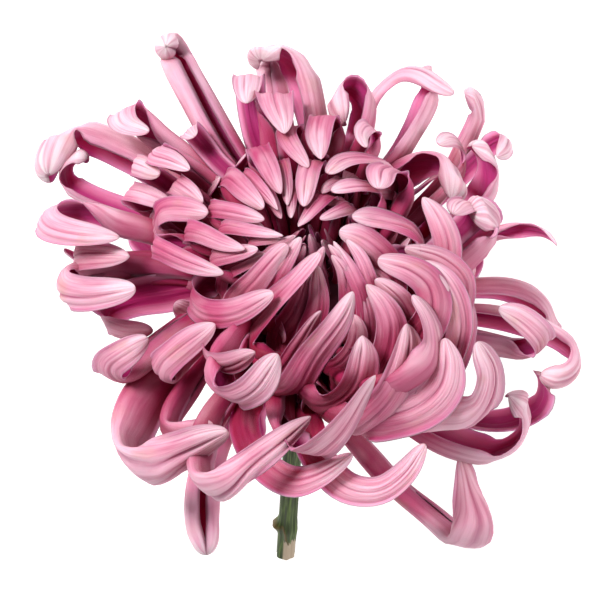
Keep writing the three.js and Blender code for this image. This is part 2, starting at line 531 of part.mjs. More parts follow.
// The green cup behind the bloom, with rows of bracts that lie on it and stand off a little at their tips.
function calyx() {
  const top = CORE_BACK - GAP;
  const foot = top - CALYX_DEPTH;
  const profile = [
    [0, foot],
    [STEM_RADIUS + 0.6, foot],
    [STEM_RADIUS + 1.8, foot + CALYX_DEPTH * 0.25],
    [CALYX_RADIUS * 0.84, foot + CALYX_DEPTH * 0.7],
    [CALYX_RADIUS, top],
    [0, top],
  ];
  const bracts = BRACT_ROWS.flatMap((reach, row) =>
    Array.from({ length: BRACTS }, (_, k) => {
      const angle = (2 * Math.PI * (k + row / BRACT_ROWS.length)) / BRACTS;
      const at = (radius, up) => around(radius, angle, foot + CALYX_DEPTH * up);
      const tip = STEM_RADIUS + (CALYX_RADIUS + BRACT_LIFT - STEM_RADIUS) * reach;
      const route = [at(2, 0.1), at(0.55 * tip, 0.28), at(0.9 * tip, 0.78 * reach), at(tip, 0.88 * reach)];
      return blade(BRACT_WIDTH, 100, route);
    }),
  );
  return mainBody(wasm.Manifold.union([fromGeometry(turned(profile, 16)), ...bracts]));
}

// The ribbed stem, with the round scar of a side bud.
function stem() {
  const top = CORE_BACK - CALYX_DEPTH - 2 * GAP;
  const profile = [[0, -STEM_LENGTH], [STEM_RADIUS, -STEM_LENGTH], [STEM_RADIUS, 0], [0, 0]];
  const rod = new THREE.LatheGeometry(profile.map(([r, h]) => new THREE.Vector2(r, h)), STEM_RIBS * 2);
  const position = rod.attributes.position;
  for (let i = 0; i < position.count; i += 1) {
    const rib = 1 + RIB_DEPTH * Math.cos(STEM_RIBS * Math.atan2(position.getX(i), position.getZ(i)));
    position.setXYZ(i, position.getX(i) * rib, position.getY(i), position.getZ(i) * rib);
  }
  const place = AXIS_FRAME.clone().setPosition(around(0, 0, top));
  const scar = new THREE.SphereGeometry(SCAR_RADIUS, 8, 6).scale(1, 1.2, 1);
  scar.translate(-STEM_RADIUS, -SCAR_AT, 0);
  const whole = fromGeometry(rod.applyMatrix4(place)).add(fromGeometry(scar.applyMatrix4(place)));
  return whole.subtract(belowTable());
}

// ---- The flower -----------------------------------------------------------------------------------
const finish = (color, roughness) => new THREE.MeshStandardMaterial({ color, roughness, metalness: 0 });

function piece(name, manifold, material) {
  const mesh = new THREE.Mesh(toGeometry(manifold), material);
  mesh.name = name;
  return mesh;
}

const flower = new THREE.Group();
flower.add(piece("bloom", bloom(), finish(0xd68fb0, 0.6)));
flower.add(piece("calyx", calyx(), finish(0x5f7a3a, 0.7)));
flower.add(piece("stem", stem(), finish(0x4c5b2a, 0.6)));
flower.position.copy(CENTRE);

export default flower;
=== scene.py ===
# %% [markdown]
# # A cut chrysanthemum that lies on a table
# The real thing is one bloom of some hundred and seventy petals on a short stem, with a small green cup of
# bracts between them. A petal is a strap: narrow where it leaves the heart, then a gutter with its margins
# rolled in, and a rounded tip that hooks back towards the heart. Outside it is pale and silvery, inside a
# deep magenta. The plan is to model one petal, lay a copy along each petal's own route, and join them by
# region.

# %% Load the frame
import math

import bpy
import numpy as np
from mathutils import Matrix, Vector


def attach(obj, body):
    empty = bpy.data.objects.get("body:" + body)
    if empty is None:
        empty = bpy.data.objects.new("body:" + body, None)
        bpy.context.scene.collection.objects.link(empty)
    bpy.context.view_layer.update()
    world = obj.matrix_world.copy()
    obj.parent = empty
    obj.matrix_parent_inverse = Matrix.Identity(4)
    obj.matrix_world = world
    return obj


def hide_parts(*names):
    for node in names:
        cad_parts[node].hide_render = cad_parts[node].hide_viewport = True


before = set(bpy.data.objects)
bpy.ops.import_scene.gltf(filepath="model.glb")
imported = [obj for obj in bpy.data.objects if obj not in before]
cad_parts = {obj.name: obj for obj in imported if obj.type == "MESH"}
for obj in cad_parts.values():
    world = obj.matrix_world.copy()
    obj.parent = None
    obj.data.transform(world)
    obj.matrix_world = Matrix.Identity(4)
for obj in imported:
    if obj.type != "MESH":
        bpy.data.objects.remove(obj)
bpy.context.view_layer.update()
MM = 0.001

# %% [markdown]
# ## The camera
# The flower lies with its face turned up and a little away, so the camera looks straight down at it. A long
# lens from four metres up keeps near and far petals at nearly the same scale.

# %% Place the camera
FLOWER_CENTRE = np.array([-3.04, 0.7, 0.0])  # where the middle of the route points' frame lies, in mm
HEART = np.array([0.0, -7.5, 58.3])  # centre of the knob that the petals grow from, in mm
AXIS = np.array([0.045, 0.707, 0.706])
AXIS = AXIS / np.linalg.norm(AXIS)  # from the stem out through the face

SENSOR = 36.0
LENS = 945.0
PICTURE_WIDTH = 150.0 * MM  # across the picture at the height of the heart
FAR_LIMIT = 50.0  # of the camera's view, in metres

camera_height = HEART[2] * MM + LENS * PICTURE_WIDTH / SENSOR
bpy.ops.object.select_all(action="DESELECT")
bpy.ops.object.camera_add(location=(FLOWER_CENTRE[0] * MM, FLOWER_CENTRE[1] * MM, camera_height))
camera = bpy.context.object
camera.name = "overhead_camera"
camera.data.lens = LENS
camera.data.sensor_width = SENSOR
camera.data.clip_end = FAR_LIMIT
bpy.context.scene.camera = camera
print(f"camera {camera_height:.2f} m up")

# %% [markdown]
# ## Light and floor
# A large soft lamp high on the left draws the long highlights of the straps. A weaker and broader one on the
# right and a pale sky fill the shadows, as between two windows. The floor is the opal glass of a light table,
# so that it stays white.

# %% Helpers for colours and shader nodes
def srgb(code):
    """The linear colour of a hex code such as D98CAE."""
    channels = [int(code[i : i + 2], 16) / 255 for i in (0, 2, 4)]
    return tuple(c / 12.92 if c <= 0.04045 else ((c + 0.055) / 1.055) ** 2.4 for c in channels) + (1.0,)


def add_node(material, kind, inputs=None, **settings):
    """Adds a shader node. An input, by its name or number, takes another node's output or a value, and a
    setting is an input's value or an option, by name."""
    node = material.node_tree.nodes.new(kind)
    for name, value in settings.items():
        if name in node.inputs:
            node.inputs[name].default_value = value
        else:
            setattr(node, name, value)
    for name, given in (inputs or {}).items():
        if isinstance(given, bpy.types.NodeSocket):
            material.node_tree.links.new(given, node.inputs[name])
        else:
            node.inputs[name].default_value = given
    return node


def new_material(name):
    material = bpy.data.materials.new(name)
    material.use_nodes = True
    material.node_tree.nodes.clear()
    return material


def finish_material(material, inputs=None, **look):
    """Gives a material its shader, with inputs and settings as for a node."""
    shader = add_node(material, "ShaderNodeBsdfPrincipled", inputs, **look)
    add_node(material, "ShaderNodeOutputMaterial", {"Surface": shader.outputs["BSDF"]})


# %% Floor
FLOOR_SIZE = 6.0  # in metres

bpy.ops.mesh.primitive_plane_add(size=FLOOR_SIZE)
floor = bpy.context.object
floor.name = "light_table"
opal = new_material("opal_glass")
opal_glow = {"Emission Color": (1, 1, 1, 1), "Emission Strength": 0.9}
finish_material(opal, **{"Base Color": srgb("B4B4B4"), "Roughness": 0.8}, **opal_glow)
floor.data.materials.append(opal)

# %% Lamps and sky
LIT_POINT = Vector((0, 0, 0.05))  # in the bloom, where both lamps look


def add_lamp(name, place, size, power, colour):
    """A square soft lamp: its place and size in metres, its power in watts."""
    bpy.ops.object.light_add(type="AREA", location=place)
    lamp = bpy.context.object
    lamp.name = name
    lamp.data.size = size
    lamp.data.energy = power
    lamp.data.color = colour
    lamp.rotation_euler = (LIT_POINT - Vector(place)).to_track_quat("-Z", "Y").to_euler()


add_lamp("window_left", place=(-0.9, 0.75, 1.5), size=0.5, power=43, colour=(1.0, 0.985, 0.97))
add_lamp("window_right", place=(1.25, -0.25, 1.2), size=0.8, power=15, colour=(1.0, 0.95, 0.93))

sky = bpy.data.worlds.new("pale_sky")
sky.use_nodes = True
sky.node_tree.nodes["Background"].inputs["Color"].default_value = (1.0, 0.99, 0.985, 1.0)
sky.node_tree.nodes["Background"].inputs["Strength"].default_value = 0.14
bpy.context.scene.world = sky
bpy.context.scene.view_settings.view_transform = "Standard"

# %% [markdown]
# ## The skin of the petals
# A petal is living tissue: matt with a silvery sheen from its velvet of tiny cells, pale pink outside,
# magenta inside, and darker towards its root, partly from its pigment and partly as painted shade. Fine veins
# run along it, less than a millimetre apart. Its colours read what each petal's mesh carries: its grain in
# mm, its parts (inner face, paleness, nearness to a margin), its tone (how much pigment it holds) and its
# grooves.

# %% Petal colours
petal_skin = new_material("chrysanthemum_petal")
grain = add_node(petal_skin, "ShaderNodeAttribute", attribute_name="grain").outputs["Vector"]
parts = add_node(petal_skin, "ShaderNodeAttribute", attribute_name="parts").outputs["Vector"]
tone = add_node(petal_skin, "ShaderNodeAttribute", attribute_name="tone").outputs["Fac"]
groove_pigment_and_shade = add_node(petal_skin, "ShaderNodeAttribute", attribute_name="groove_pigment_and_shade").outputs["Fac"]
inner_face, paleness, margin = add_node(petal_skin, "ShaderNodeSeparateXYZ", {"Vector": parts}).outputs


def set_ramp(node, stops):
    ramp = node.color_ramp
    while len(ramp.elements) < len(stops):
        ramp.elements.new(0.5)
    for element, (position, code) in zip(ramp.elements, stops):
        element.position = position
        element.color = srgb(code)


# the darkest stops at the root are partly pigment and partly painted shade
PETAL_COLOURS = {  # from root to tip
    "pale": [(0.0, "4A0018"), (0.25, "94204C"), (0.46, "BE4E7A"), (0.66, "DE92AE"), (0.84, "EFBED0"),
             (1.0, "F6D8E2")],
    "deep": [(0.0, "4A0018"), (0.25, "84103A"), (0.5, "9E2256"), (0.74, "BE4474"), (0.88, "DE8EAC"),
             (1.0, "F3CAD8")],
    "inside": [(0.0, "6E0430"), (0.35, "8C104C"), (0.7, "9A1C5E"), (1.0, "B44484")],
}
ramps = {}
for name, stops in PETAL_COLOURS.items():
    ramp = add_node(petal_skin, "ShaderNodeValToRGB", {"Fac": paleness})
    set_ramp(ramp, stops)
    ramps[name] = ramp.outputs["Color"]

# %% Veins, blotches and margins
UNDER, OVER, MIXED = 6, 7, 2  # the colour sockets of a Mix node: two inputs and the output


def tint(material, under, over, value, low, high, most):
    """Lays one colour over another, by a share that grows to most while a value goes from low to high."""
    limits = {"Value": value, "From Min": low, "From Max": high, "To Max": most}
    share = add_node(material, "ShaderNodeMapRange", limits).outputs["Result"]
    sockets = {"Factor": share, UNDER: under, OVER: over}
    return add_node(material, "ShaderNodeMix", sockets, data_type="RGBA").outputs[MIXED]


def stretched_noise(material, coordinates, scale, detail):
    """Noise drawn out along a piece. The scale says how many patches there are in a mm, each way."""
    stretch = add_node(material, "ShaderNodeMapping", {"Vector": coordinates}, Scale=scale)
    vector = {"Vector": stretch.outputs["Vector"]}
    return add_node(material, "ShaderNodeTexNoise", vector, Scale=1.0, Detail=detail).outputs["Fac"]


veins = stretched_noise(petal_skin, grain, (1.5, 0.05, 1.0), 4.0)
blotches = stretched_noise(petal_skin, grain, (0.22, 0.07, 1.0), 2.0)
worn = stretched_noise(petal_skin, grain, (0.16, 0.09, 1.0), 3.0)
TINTS = [  # what shows it, the values where it starts and is full, how much of it shows then, and its colour
    (veins, 0.42, 0.68, 0.55, "B2366A"),
    (blotches, 0.46, 0.72, 0.35, "FBDDE8"),
    (worn, 0.6, 0.76, 0.4, "C89A84"),
    # the creases darken, partly as pigment along the veins and partly as painted shade that falls in them
    (groove_pigment_and_shade, 0.15, 0.9, 0.65, "A02E68"),
    # darker towards the margins: partly the inner colour showing at the rim, partly painted shade where the
    # petal rounds away
    (margin, 0.55, 1.0, 0.45, "B03C78"),
]
skins = {"Factor": tone, UNDER: ramps["pale"], OVER: ramps["deep"]}
colour = add_node(petal_skin, "ShaderNodeMix", skins, data_type="RGBA").outputs[MIXED]
for value, low, high, most, code in TINTS:
    colour = tint(petal_skin, colour, srgb(code), value, low, high, most)

# %% Painted shade in the clefts, inner face and velvet
CLEFT_SHADE_REACH = 0.016  # how far apart petals still darken each other, in metres

# painted shade: where petals crowd each other the colour is darkened towards a deep magenta, as the shade
# that falls in the clefts, though less of it among the outer petals
cleft = add_node(petal_skin, "ShaderNodeAmbientOcclusion", samples=6, Distance=CLEFT_SHADE_REACH).outputs["AO"]
depth = add_node(petal_skin, "ShaderNodeInvert", {"Color": cleft}).outputs["Color"]
outer = {"From Min": 0.4, "From Max": 0.85, "To Min": 0.95, "To Max": 0.6175}
most = add_node(petal_skin, "ShaderNodeMapRange", {"Value": paleness}, **outer).outputs["Result"]
colour = tint(petal_skin, colour, srgb("900C3A"), depth, 0.08, 0.6, most)

# on the inner face the pigment fills the middle, and the margins are as pale as the outside
inner = tint(petal_skin, ramps["inside"], srgb("E39CBC"), margin, 0.4, 0.85, 0.75)
faces = {"Factor": inner_face, UNDER: colour, OVER: inner}
colour = add_node(petal_skin, "ShaderNodeMix", faces, data_type="RGBA").outputs[MIXED]
bright = {"To Min": 1.05, "To Max": 0.95}
value = add_node(petal_skin, "ShaderNodeMapRange", {"Value": tone}, **bright).outputs["Result"]
colour = add_node(petal_skin, "ShaderNodeHueSaturation", {"Color": colour, "Value": value}).outputs["Color"]
relief = add_node(petal_skin, "ShaderNodeBump", {"Height": veins}, Strength=0.8, Distance=0.0004)
tissue = {"Roughness": 0.6, "IOR": 1.36, "Specular IOR Level": 0.35}
velvet = {"Sheen Weight": 0.06, "Sheen Roughness": 0.45, "Sheen Tint": srgb("FFE6F0")}
glow = {"Subsurface Weight": 0.4, "Subsurface Radius": (1.0, 0.4, 0.6), "Subsurface Scale": 0.0018}
surface = {"Base Color": colour, "Normal": relief.outputs["Normal"]}
finish_material(petal_skin, surface, **tissue, **velvet, **glow)

# painted shade: the knob's near-black maroon stands for the darkness deep between the petals
petal_shade = new_material("petal_bases_painted_shade")
finish_material(petal_shade, **{"Base Color": srgb("4A0A26"), "Roughness": 0.7})

# %% [markdown]
# ## Bracts and stem
# Bracts are leaf tissue: green along the keel, with dry papery margins. The stem is a fleshy green skin over
# wood, with ribs and brown scars.

# %% Bract material
bract_skin = new_material("bract_leaf")
bract_parts = add_node(bract_skin, "ShaderNodeAttribute", attribute_name="parts").outputs["Vector"]
bract_margin = add_node(bract_skin, "ShaderNodeSeparateXYZ", {"Vector": bract_parts}).outputs["Z"]
bract_colour = add_node(bract_skin, "ShaderNodeValToRGB", {"Fac": bract_margin})
set_ramp(bract_colour, [(0.0, "5E7A3C"), (0.6, "6F8A48"), (0.82, "A9A070"), (1.0, "8A6A48")])
leaf = {"Roughness": 0.55, "Subsurface Weight": 0.05, "Subsurface Scale": 0.001}
finish_material(bract_skin, {"Base Color": bract_colour.outputs["Color"]}, **leaf)

# %% Stem material
stem_skin = new_material("chrysanthemum_stem")
bark_map = add_node(stem_skin, "ShaderNodeAttribute", attribute_name="bark").outputs["Vector"]
mark_map = add_node(stem_skin, "ShaderNodeAttribute", attribute_name="marks").outputs["Vector"]
marks_by_kind = add_node(stem_skin, "ShaderNodeSeparateXYZ", {"Vector": mark_map}).outputs
fibres = stretched_noise(stem_skin, bark_map, (1.4, 1.4, 0.12), 5.0)
greens = add_node(stem_skin, "ShaderNodeValToRGB", {"Fac": fibres})
set_ramp(greens, [(0.3, "28340F"), (0.5, "3E521F"), (0.7, "6C8640")])
colour = greens.outputs["Color"]
for mark, code in zip(marks_by_kind, ("6E5A34", "BFAE95", "C9C79A")):  # brown scars, peeled patch, cut
    layers = {"Factor": mark, UNDER: colour, OVER: srgb(code)}
    colour = add_node(stem_skin, "ShaderNodeMix", layers, data_type="RGBA").outputs[MIXED]
relief = add_node(stem_skin, "ShaderNodeBump", {"Height": fibres}, Strength=0.5, Distance=0.0002)
surface = {"Base Color": colour, "Normal": relief.outputs["Normal"]}
finish_material(stem_skin, surface, Roughness=0.5, IOR=1.42)

# %% [markdown]
# ## One petal
# A petal is a thin closed skin with an outer and an inner face that meet in round margins. A ball is already
# such a skin, with its poles at the root and the tip and its rings close together there, where the outline
# turns fastest. It is pressed flat in edit mode, and then stands for every petal: x runs from margin to
# margin, z from root to tip, and y is positive on the inner face.

# %% Model the petal's blank
PRESSED = 0.35


def mesh_points(mesh):
    flat = np.empty(len(mesh.vertices) * 3)
    mesh.vertices.foreach_get("co", flat)
    return flat.reshape(-1, 3)


def make_blank(segments, rings):
    """The pressed ball, with where each of its points lies on a petal: how far along (0 root, 1 tip), how far
    across (-1 to 1), and on which face (-1 outer, 1 inner, 0 at the margins)."""
    bpy.ops.object.select_all(action="DESELECT")
    bpy.ops.mesh.primitive_uv_sphere_add(segments=segments, ring_count=rings, radius=1.0)
    ball = bpy.context.object
    ball.name = "petal_blank"
    bpy.ops.object.mode_set(mode="EDIT")
    bpy.ops.mesh.select_all(action="SELECT")
    bpy.ops.transform.resize(value=(1.0, PRESSED, 1.0))
    bpy.ops.object.mode_set(mode="OBJECT")
    points = mesh_points(ball.data)
    ring_radius = np.sqrt(np.maximum(1 - points[:, 2] ** 2, 1e-12))
    along = (points[:, 2] + 1) / 2
    turn = np.arctan2(points[:, 1] / PRESSED, points[:, 0])
    across = np.where(ring_radius > 1e-5, 1 - 2 * np.abs(turn) / math.pi, 0.0)
    face = np.sign(np.round(points[:, 1], 6))
    print(f"blank: {len(points)} points, {len(ball.data.polygons)} faces")
    return ball, along, across, face


fine_blank = make_blank(40, 62)  # for the petals that are seen
plain_blank = make_blank(28, 40)  # for the ones deep in the bloom and under it

# %% [markdown]
# ## From a route to a petal
# A petal's middle runs along a smooth curve through a few points. The cross-section is an arc whose fold says
# how far the margins rise, and the skin has its full thickness in the middle. The inner face looks towards
# the side that the petal curls to, so a petal that hooks back shows its pale outside to the eye.

# %% Routes
ROOT_DEPTH = 8.0  # how far from the knob's centre a petal starts, in mm
ROOT_CLEAR = 14.0  # a petal that leans back first runs straight out this far, past the calyx
LEAN_BACK = 0.12  # a petal leans back if it rises by less than this share of its way out
STEPS = 160  # along a route
SPAN_STEPS = 24  # along the curve from one mark to the next


def unit(v):
    return v / np.linalg.norm(v, axis=-1, keepdims=True)


def above(x, y, rise):
    """The point over x, y that lies a given height above the knob's centre along the axis."""
    level = rise - AXIS[0] * (x - HEART[0]) - AXIS[1] * (y - HEART[1])
    return np.array([x, y, HEART[2] + level / AXIS[2]])


def with_root(marks):
    out = marks[0] - HEART
    height = out @ AXIS
    if height >= LEAN_BACK * np.linalg.norm(out):
        return [HEART + unit(out) * ROOT_DEPTH, *marks]
    out = unit(out - AXIS * height) + AXIS * 0.05
    return [HEART + unit(out) * ROOT_DEPTH, HEART + unit(out) * ROOT_CLEAR, *marks]


def smooth_curve(marks):
    """Points along a centripetal Catmull-Rom curve through the marks, at even steps."""
    p = [2 * marks[0] - marks[1], *marks, 2 * marks[-1] - marks[-2]]
    fine = []
    for a, b, c, d in zip(p, p[1:], p[2:], p[3:]):
        ab, bc, cd = (np.linalg.norm(v) ** 0.5 for v in (b - a, c - b, d - c))
        leave = ((b - a) / ab - (c - a) / (ab + bc) + (c - b) / bc) * bc
        arrive = ((c - b) / bc - (d - b) / (bc + cd) + (d - c) / cd) * bc
        for t in np.linspace(0, 1, SPAN_STEPS, endpoint=False):
            rest = -3 * b + 3 * c - 2 * leave - arrive
            fine.append(b + leave * t + rest * t**2 + (2 * b - 2 * c + leave + arrive) * t**3)
    fine = np.array([*fine, marks[-1]])
    lengths = np.concatenate([[0], np.cumsum(np.linalg.norm(np.diff(fine, axis=0), axis=1))])
    even = np.linspace(0, lengths[-1], STEPS + 1)
    return np.stack([np.interp(even, lengths, fine[:, k]) for k in range(3)], axis=1), lengths[-1]


def relax(values, rounds):
    """Rounds the bends of a row of points and leaves its ends in place."""
    for _ in range(rounds):
        values[1:-1] = (values[:-2] + 2 * values[1:-1] + values[2:]) / 4
    return values


# %% Trace a route
HOOK_ZONE = (0.4, 0.94)  # the part of a petal's length in which its sharpest bend, the hook, is looked for


def trace(route, tilt, down=0.0):
    """The middle of a petal with its tangents, inner normals, bends and length, and how far along it hooks.
    The inner face looks to where the petal curls most, and some way down. A tilt in degrees turns it."""
    points, length = smooth_curve(route)
    points = relax(points, 14)
    tangents = unit(np.gradient(points, axis=0))
    bends = np.gradient(tangents, axis=0) * STEPS / length
    bends = relax(bends, 20)
    first, last = (int(STEPS * share) for share in HOOK_ZONE)
    sharpest = first + int(np.argmax(np.linalg.norm(bends[first:last], axis=1)))
    normals = np.zeros_like(points)

    def square_to(v, i):
        return unit(v - tangents[i] * (v @ tangents[i]))

    normals[sharpest] = square_to(unit(bends[sharpest]) + [0, 0, -down], sharpest)
    for i in range(sharpest + 1, STEPS + 1):
        normals[i] = square_to(normals[i - 1], i)
    for i in range(sharpest - 1, -1, -1):
        normals[i] = square_to(normals[i + 1], i)
    laterals = np.cross(normals, tangents)
    angle = math.radians(tilt) * np.sign(laterals[sharpest, 2])
    turned = normals * math.cos(angle) + laterals * math.sin(angle)
    return points, tangents, turned, np.linalg.norm(bends, axis=1), length, sharpest / STEPS


# %% Copy a blank to its place
def at_points(values, along):
    """Values along a route, read off for each point of a blank."""
    columns = [np.interp(along * STEPS, np.arange(STEPS + 1), column) for column in np.atleast_2d(values.T)]
    return columns[0] if values.ndim == 1 else np.stack(columns, axis=1)


def copy_blank(ball, middle, lateral, normal, x, y):
    """A copy with its own mesh, each point x and y mm from the petal's middle, and none under the floor."""
    place = (middle + lateral * x[:, None] + normal * y[:, None] + FLOWER_CENTRE) * MM
    place[:, 2] = np.maximum(place[:, 2], 0.0)
    piece = ball.copy()
    piece.data = ball.data.copy()
    bpy.context.collection.objects.link(piece)
    piece.data.vertices.foreach_set("co", place.ravel())
    return piece


def add_attribute(mesh, name, *fields):
    """Gives each point of a mesh one number, or a vector of three."""
    kind, field = ("FLOAT", "value") if len(fields) == 1 else ("FLOAT_VECTOR", "vector")
    attribute = mesh.attributes.new(name, kind, "POINT")
    attribute.data.foreach_set(field, np.stack(np.broadcast_arrays(*fields), axis=-1).ravel())


# %% The outline of a petal
ROOT_WIDTH = 0.3  # of a petal's full width
CLAW_TOP = 0.5  # how far along a petal has its full width
NARROWED = {"strap": 0.1, "rolled": 0.25}  # how much narrower a rolled petal is past its hook, by style
BLUNT_FROM = {"channel": 0.88, "quill": 0.9}  # how far along the tip starts to narrow, by style
TIP_POWER = {"channel": 0.55, "quill": 0.4}  # the smaller, the blunter the tip


def smoothstep(x, start, end):
    t = np.clip((x - start) / (end - start), 0, 1)
    return t * t * (3 - 2 * t)


def blend(a, b, share):
    return a + (b - a) * share


def opening_of(style, along, hook):
    """How far the margins have opened at each point of a petal, from 0 (rolled in) to 1."""
    if style == "strap":
        return smoothstep(along, hook - 0.16, hook + 0.04)
    if style == "rolled":
        return smoothstep(along, hook, hook + 0.22)
    return np.full_like(along, 0 if style == "quill" else 1)


def outline_of(style, along, hook, opening, power):
    """How wide a petal is at each point, as a share of its width: a narrow claw, the blade and the tip."""
    blade = 0.7
    if style in NARROWED:
        blade = blend(0.66, 0.7, opening)
    claw = ROOT_WIDTH + blade * smoothstep(along, 0.04, CLAW_TOP)
    claw = claw * (1 - NARROWED.get(style, 0) * smoothstep(along, hook, hook + 0.12))
    blunt = BLUNT_FROM.get(style, hook + 0.25 * (1 - hook))
    if style == "open":
        blunt = max(blunt, 0.78)
    power = TIP_POWER.get(style, power)
    return claw * np.maximum(0, 1 - np.maximum(0, (along - blunt) / (1 - blunt)) ** 2.4) ** power


# %% Colour values of a petal
REACH = 60.0  # from the axis to where the outermost petals' pigment is palest, in mm
PALE_START = 26.0  # from the axis, in mm: here a petal starts to pale, whatever part of it lies there,
PALE_REACH = 54.0  # and here it is pale


def off_axis(points):
    """How far points are from the bloom's axis, in mm."""
    out = points - HEART
    return np.linalg.norm(out - np.multiply.outer(out @ AXIS, AXIS), axis=-1)


def richness(tip, rng):
    """How much pigment a petal holds, from 0 to 1: more of it, the nearer its tip is to the heart."""
    inward = max(0, 1 - off_axis(tip) / REACH)
    return float(np.clip(0.9 * inward + rng.uniform(-0.1, 0.4) * (0.5 + 0.5 * inward), 0, 1))


# %% Lay a copy of a blank along a route
THICK = 0.7  # of the skin along its middle, in mm
CREASE = 0.55  # how deep a lengthwise crease is, in mm,
CREASE_WIDTH = 8.0  # on a petal of this width
CREASE_LINES = np.array([-0.55, 0.0, 0.55])  # where the creases run, from margin to margin
CREASE_SPREAD = 0.065  # how wide one is, on the same scale
CLOSED = 372  # degrees that the margins of a strap roll in over its lower half, until they overlap
OVERLAP = 0.16  # how much nearer the middle of the roll one margin lies than the other
TURNED_DOWN = 0.6  # how much a rolled petal's inner face turns from the eye
FLARE = 1.6  # how strongly the margins of an open part turn out again
SPREAD = {"open": 0.8, "channel": 1.36}  # how much of its fold an open part keeps, by style; others keep half
FLAT = 0.5  # how far a rolled strap is pressed flat
TIGHT_BEND = 8.0  # the radius in mm under which a strap buckles flat,
ROUND_FOLD = 200  # unless it folds this many degrees
TIP_FOLD = 25  # how many degrees more the tip folds
NARROW = 6.0  # a petal under this width in mm has a thinner skin
DENT = 0.28  # how deep the soft dents are, in mm
GRAIN_STEP = 7.3  # from one petal's place in the pattern of veins to the next one's


def lay_petal(width, fold, route, style, tilt, number, blank):
    """A copy of the blank, laid along a route. A strap rolls its margins in over its lower half and opens
    before its hook, and a rolled petal opens after it. An open petal shows its inner face all along, a
    channel only a slit of it, and a quill none."""
    ball, along, across, face = blank
    traced = trace(route, tilt, TURNED_DOWN if style in NARROWED else 0)
    middle, tangent, normal, bend = (at_points(values, along) for values in traced[:4])
    normal, tangent = unit(normal), unit(tangent)
    length, hook = traced[4:]
    rng = np.random.default_rng(1000 + number)
    phase = rng.uniform(0, 2 * math.pi, 4)
    seam = rng.uniform(-0.6, 0.6)
    skew = rng.uniform(-0.22, 0.22)  # how far the tip leans to one side
    opening = opening_of(style, along, hook)
    sway = 1 + 0.05 * np.sin(2 * math.pi * along * 2.3 + phase[0]) * along
    half_width = width / 2 * outline_of(style, along, hook, opening, rng.uniform(0.4, 0.7)) * sway

    # the arc of the cross-section
    open_fold = fold * SPREAD.get(style, 0.5) + TIP_FOLD * smoothstep(along, 0.85, 1.0)
    bend_radius = 1 / np.maximum(bend, 1e-3)
    sharp = np.clip((TIGHT_BEND - bend_radius) / 4, 0, 1) * opening * (fold < ROUND_FOLD)
    open_fold = open_fold * (1 - 0.85 * sharp)
    half_fold = np.radians(blend(max(CLOSED, fold), open_fold, opening)) / 2
    radius = half_width / np.sin(np.minimum(half_fold, math.pi / 2))
    tuck = 1 - OVERLAP * (1 - opening) * (across + 1) / 2
    theta = across * half_fold + seam * (1 - opening)
    height = radius * (1 - np.cos(half_fold))
    squeeze = np.minimum(blend(FLAT, 1.0, opening), 0.5 * bend_radius / np.maximum(height, 1e-6))
    x = radius * tuck * np.sin(theta)
    y = (radius * (1 - tuck * np.cos(theta)) - height / 2) * squeeze
    y = y - FLARE * opening * half_width * np.maximum(0, np.abs(across) - 0.6) ** 2

    # the skin: full in the middle, thin at the margins and towards the tip, and creased lengthwise
    full = THICK * (1.25 - 0.5 * along) * min(1, width / NARROW)
    skin = np.minimum(full, half_width) * (1 - np.abs(across) ** 2.6) ** 0.8 / 2
    ends = smoothstep(along, 0.08, 0.3) * (1 - smoothstep(along, 0.9, 1.0))
    lines = CREASE_LINES + rng.uniform(-0.22, 0.22, 3)
    depths = rng.uniform(0.0, 0.45, 3) + [0, 0.65, 0]  # the one near the middle is the deepest
    aside = across + 0.05 * np.sin(along * 9 + phase[1])
    grooves = sum(d * np.exp(-(((aside - c) / CREASE_SPREAD) ** 2)) for d, c in zip(depths, lines)) * ends
    dents = DENT * width / CREASE_WIDTH * np.sin(along * 12 + across * 1.8 + phase[3]) * ends
    offset = face * skin + CREASE * width / CREASE_WIDTH * grooves + dents
    x = x - np.sin(theta) * offset + skew * width * smoothstep(along, hook, 1.0) ** 2
    y = y + np.cos(theta) * offset

    petal = copy_blank(ball, middle, np.cross(normal, tangent), normal, x, y)
    inner_side = np.maximum(face, 0) + 0.5 * (face == 0)
    paled = np.maximum(along, 0.85 * smoothstep(off_axis(middle), PALE_START, PALE_REACH))
    add_attribute(petal.data, "grain", across * width / 2, along * length, number * GRAIN_STEP)
    add_attribute(petal.data, "parts", inner_side, paled, np.abs(across))
    add_attribute(petal.data, "tone", np.full(len(along), richness(traced[0][-1], rng)))
    # the crease depth also colours the creases, partly as pigment and partly as painted shade
    add_attribute(petal.data, "groove_pigment_and_shade", grooves)
    petal.data.update()
    return petal


# %% Join pieces
def join_pieces(objects, name):
    bpy.ops.object.select_all(action="DESELECT")
    for one in objects:
        one.select_set(True)
    bpy.context.view_layer.objects.active = objects[0]
    bpy.ops.object.join()
    whole = bpy.context.object
    whole.name = name
    bpy.ops.object.mode_set(mode="EDIT")
    bpy.ops.mesh.select_all(action="SELECT")
    bpy.ops.mesh.normals_make_consistent(inside=False)
    bpy.ops.object.mode_set(mode="OBJECT")
    bpy.ops.object.shade_smooth()
    return whole

# %% [markdown]
# ## Every petal's route
# One row each: the width in millimetres from margin to margin, how far it folds across in degrees, and the
# points that its middle runs through, as x, y and the height above the knob along the axis. A style and a
# turn towards the eye in degrees may follow. The solid bloom is made from the same rows, but for some that
# are a little wider, turned or rolled further here, so that the fine petals lie where the solid ones do.

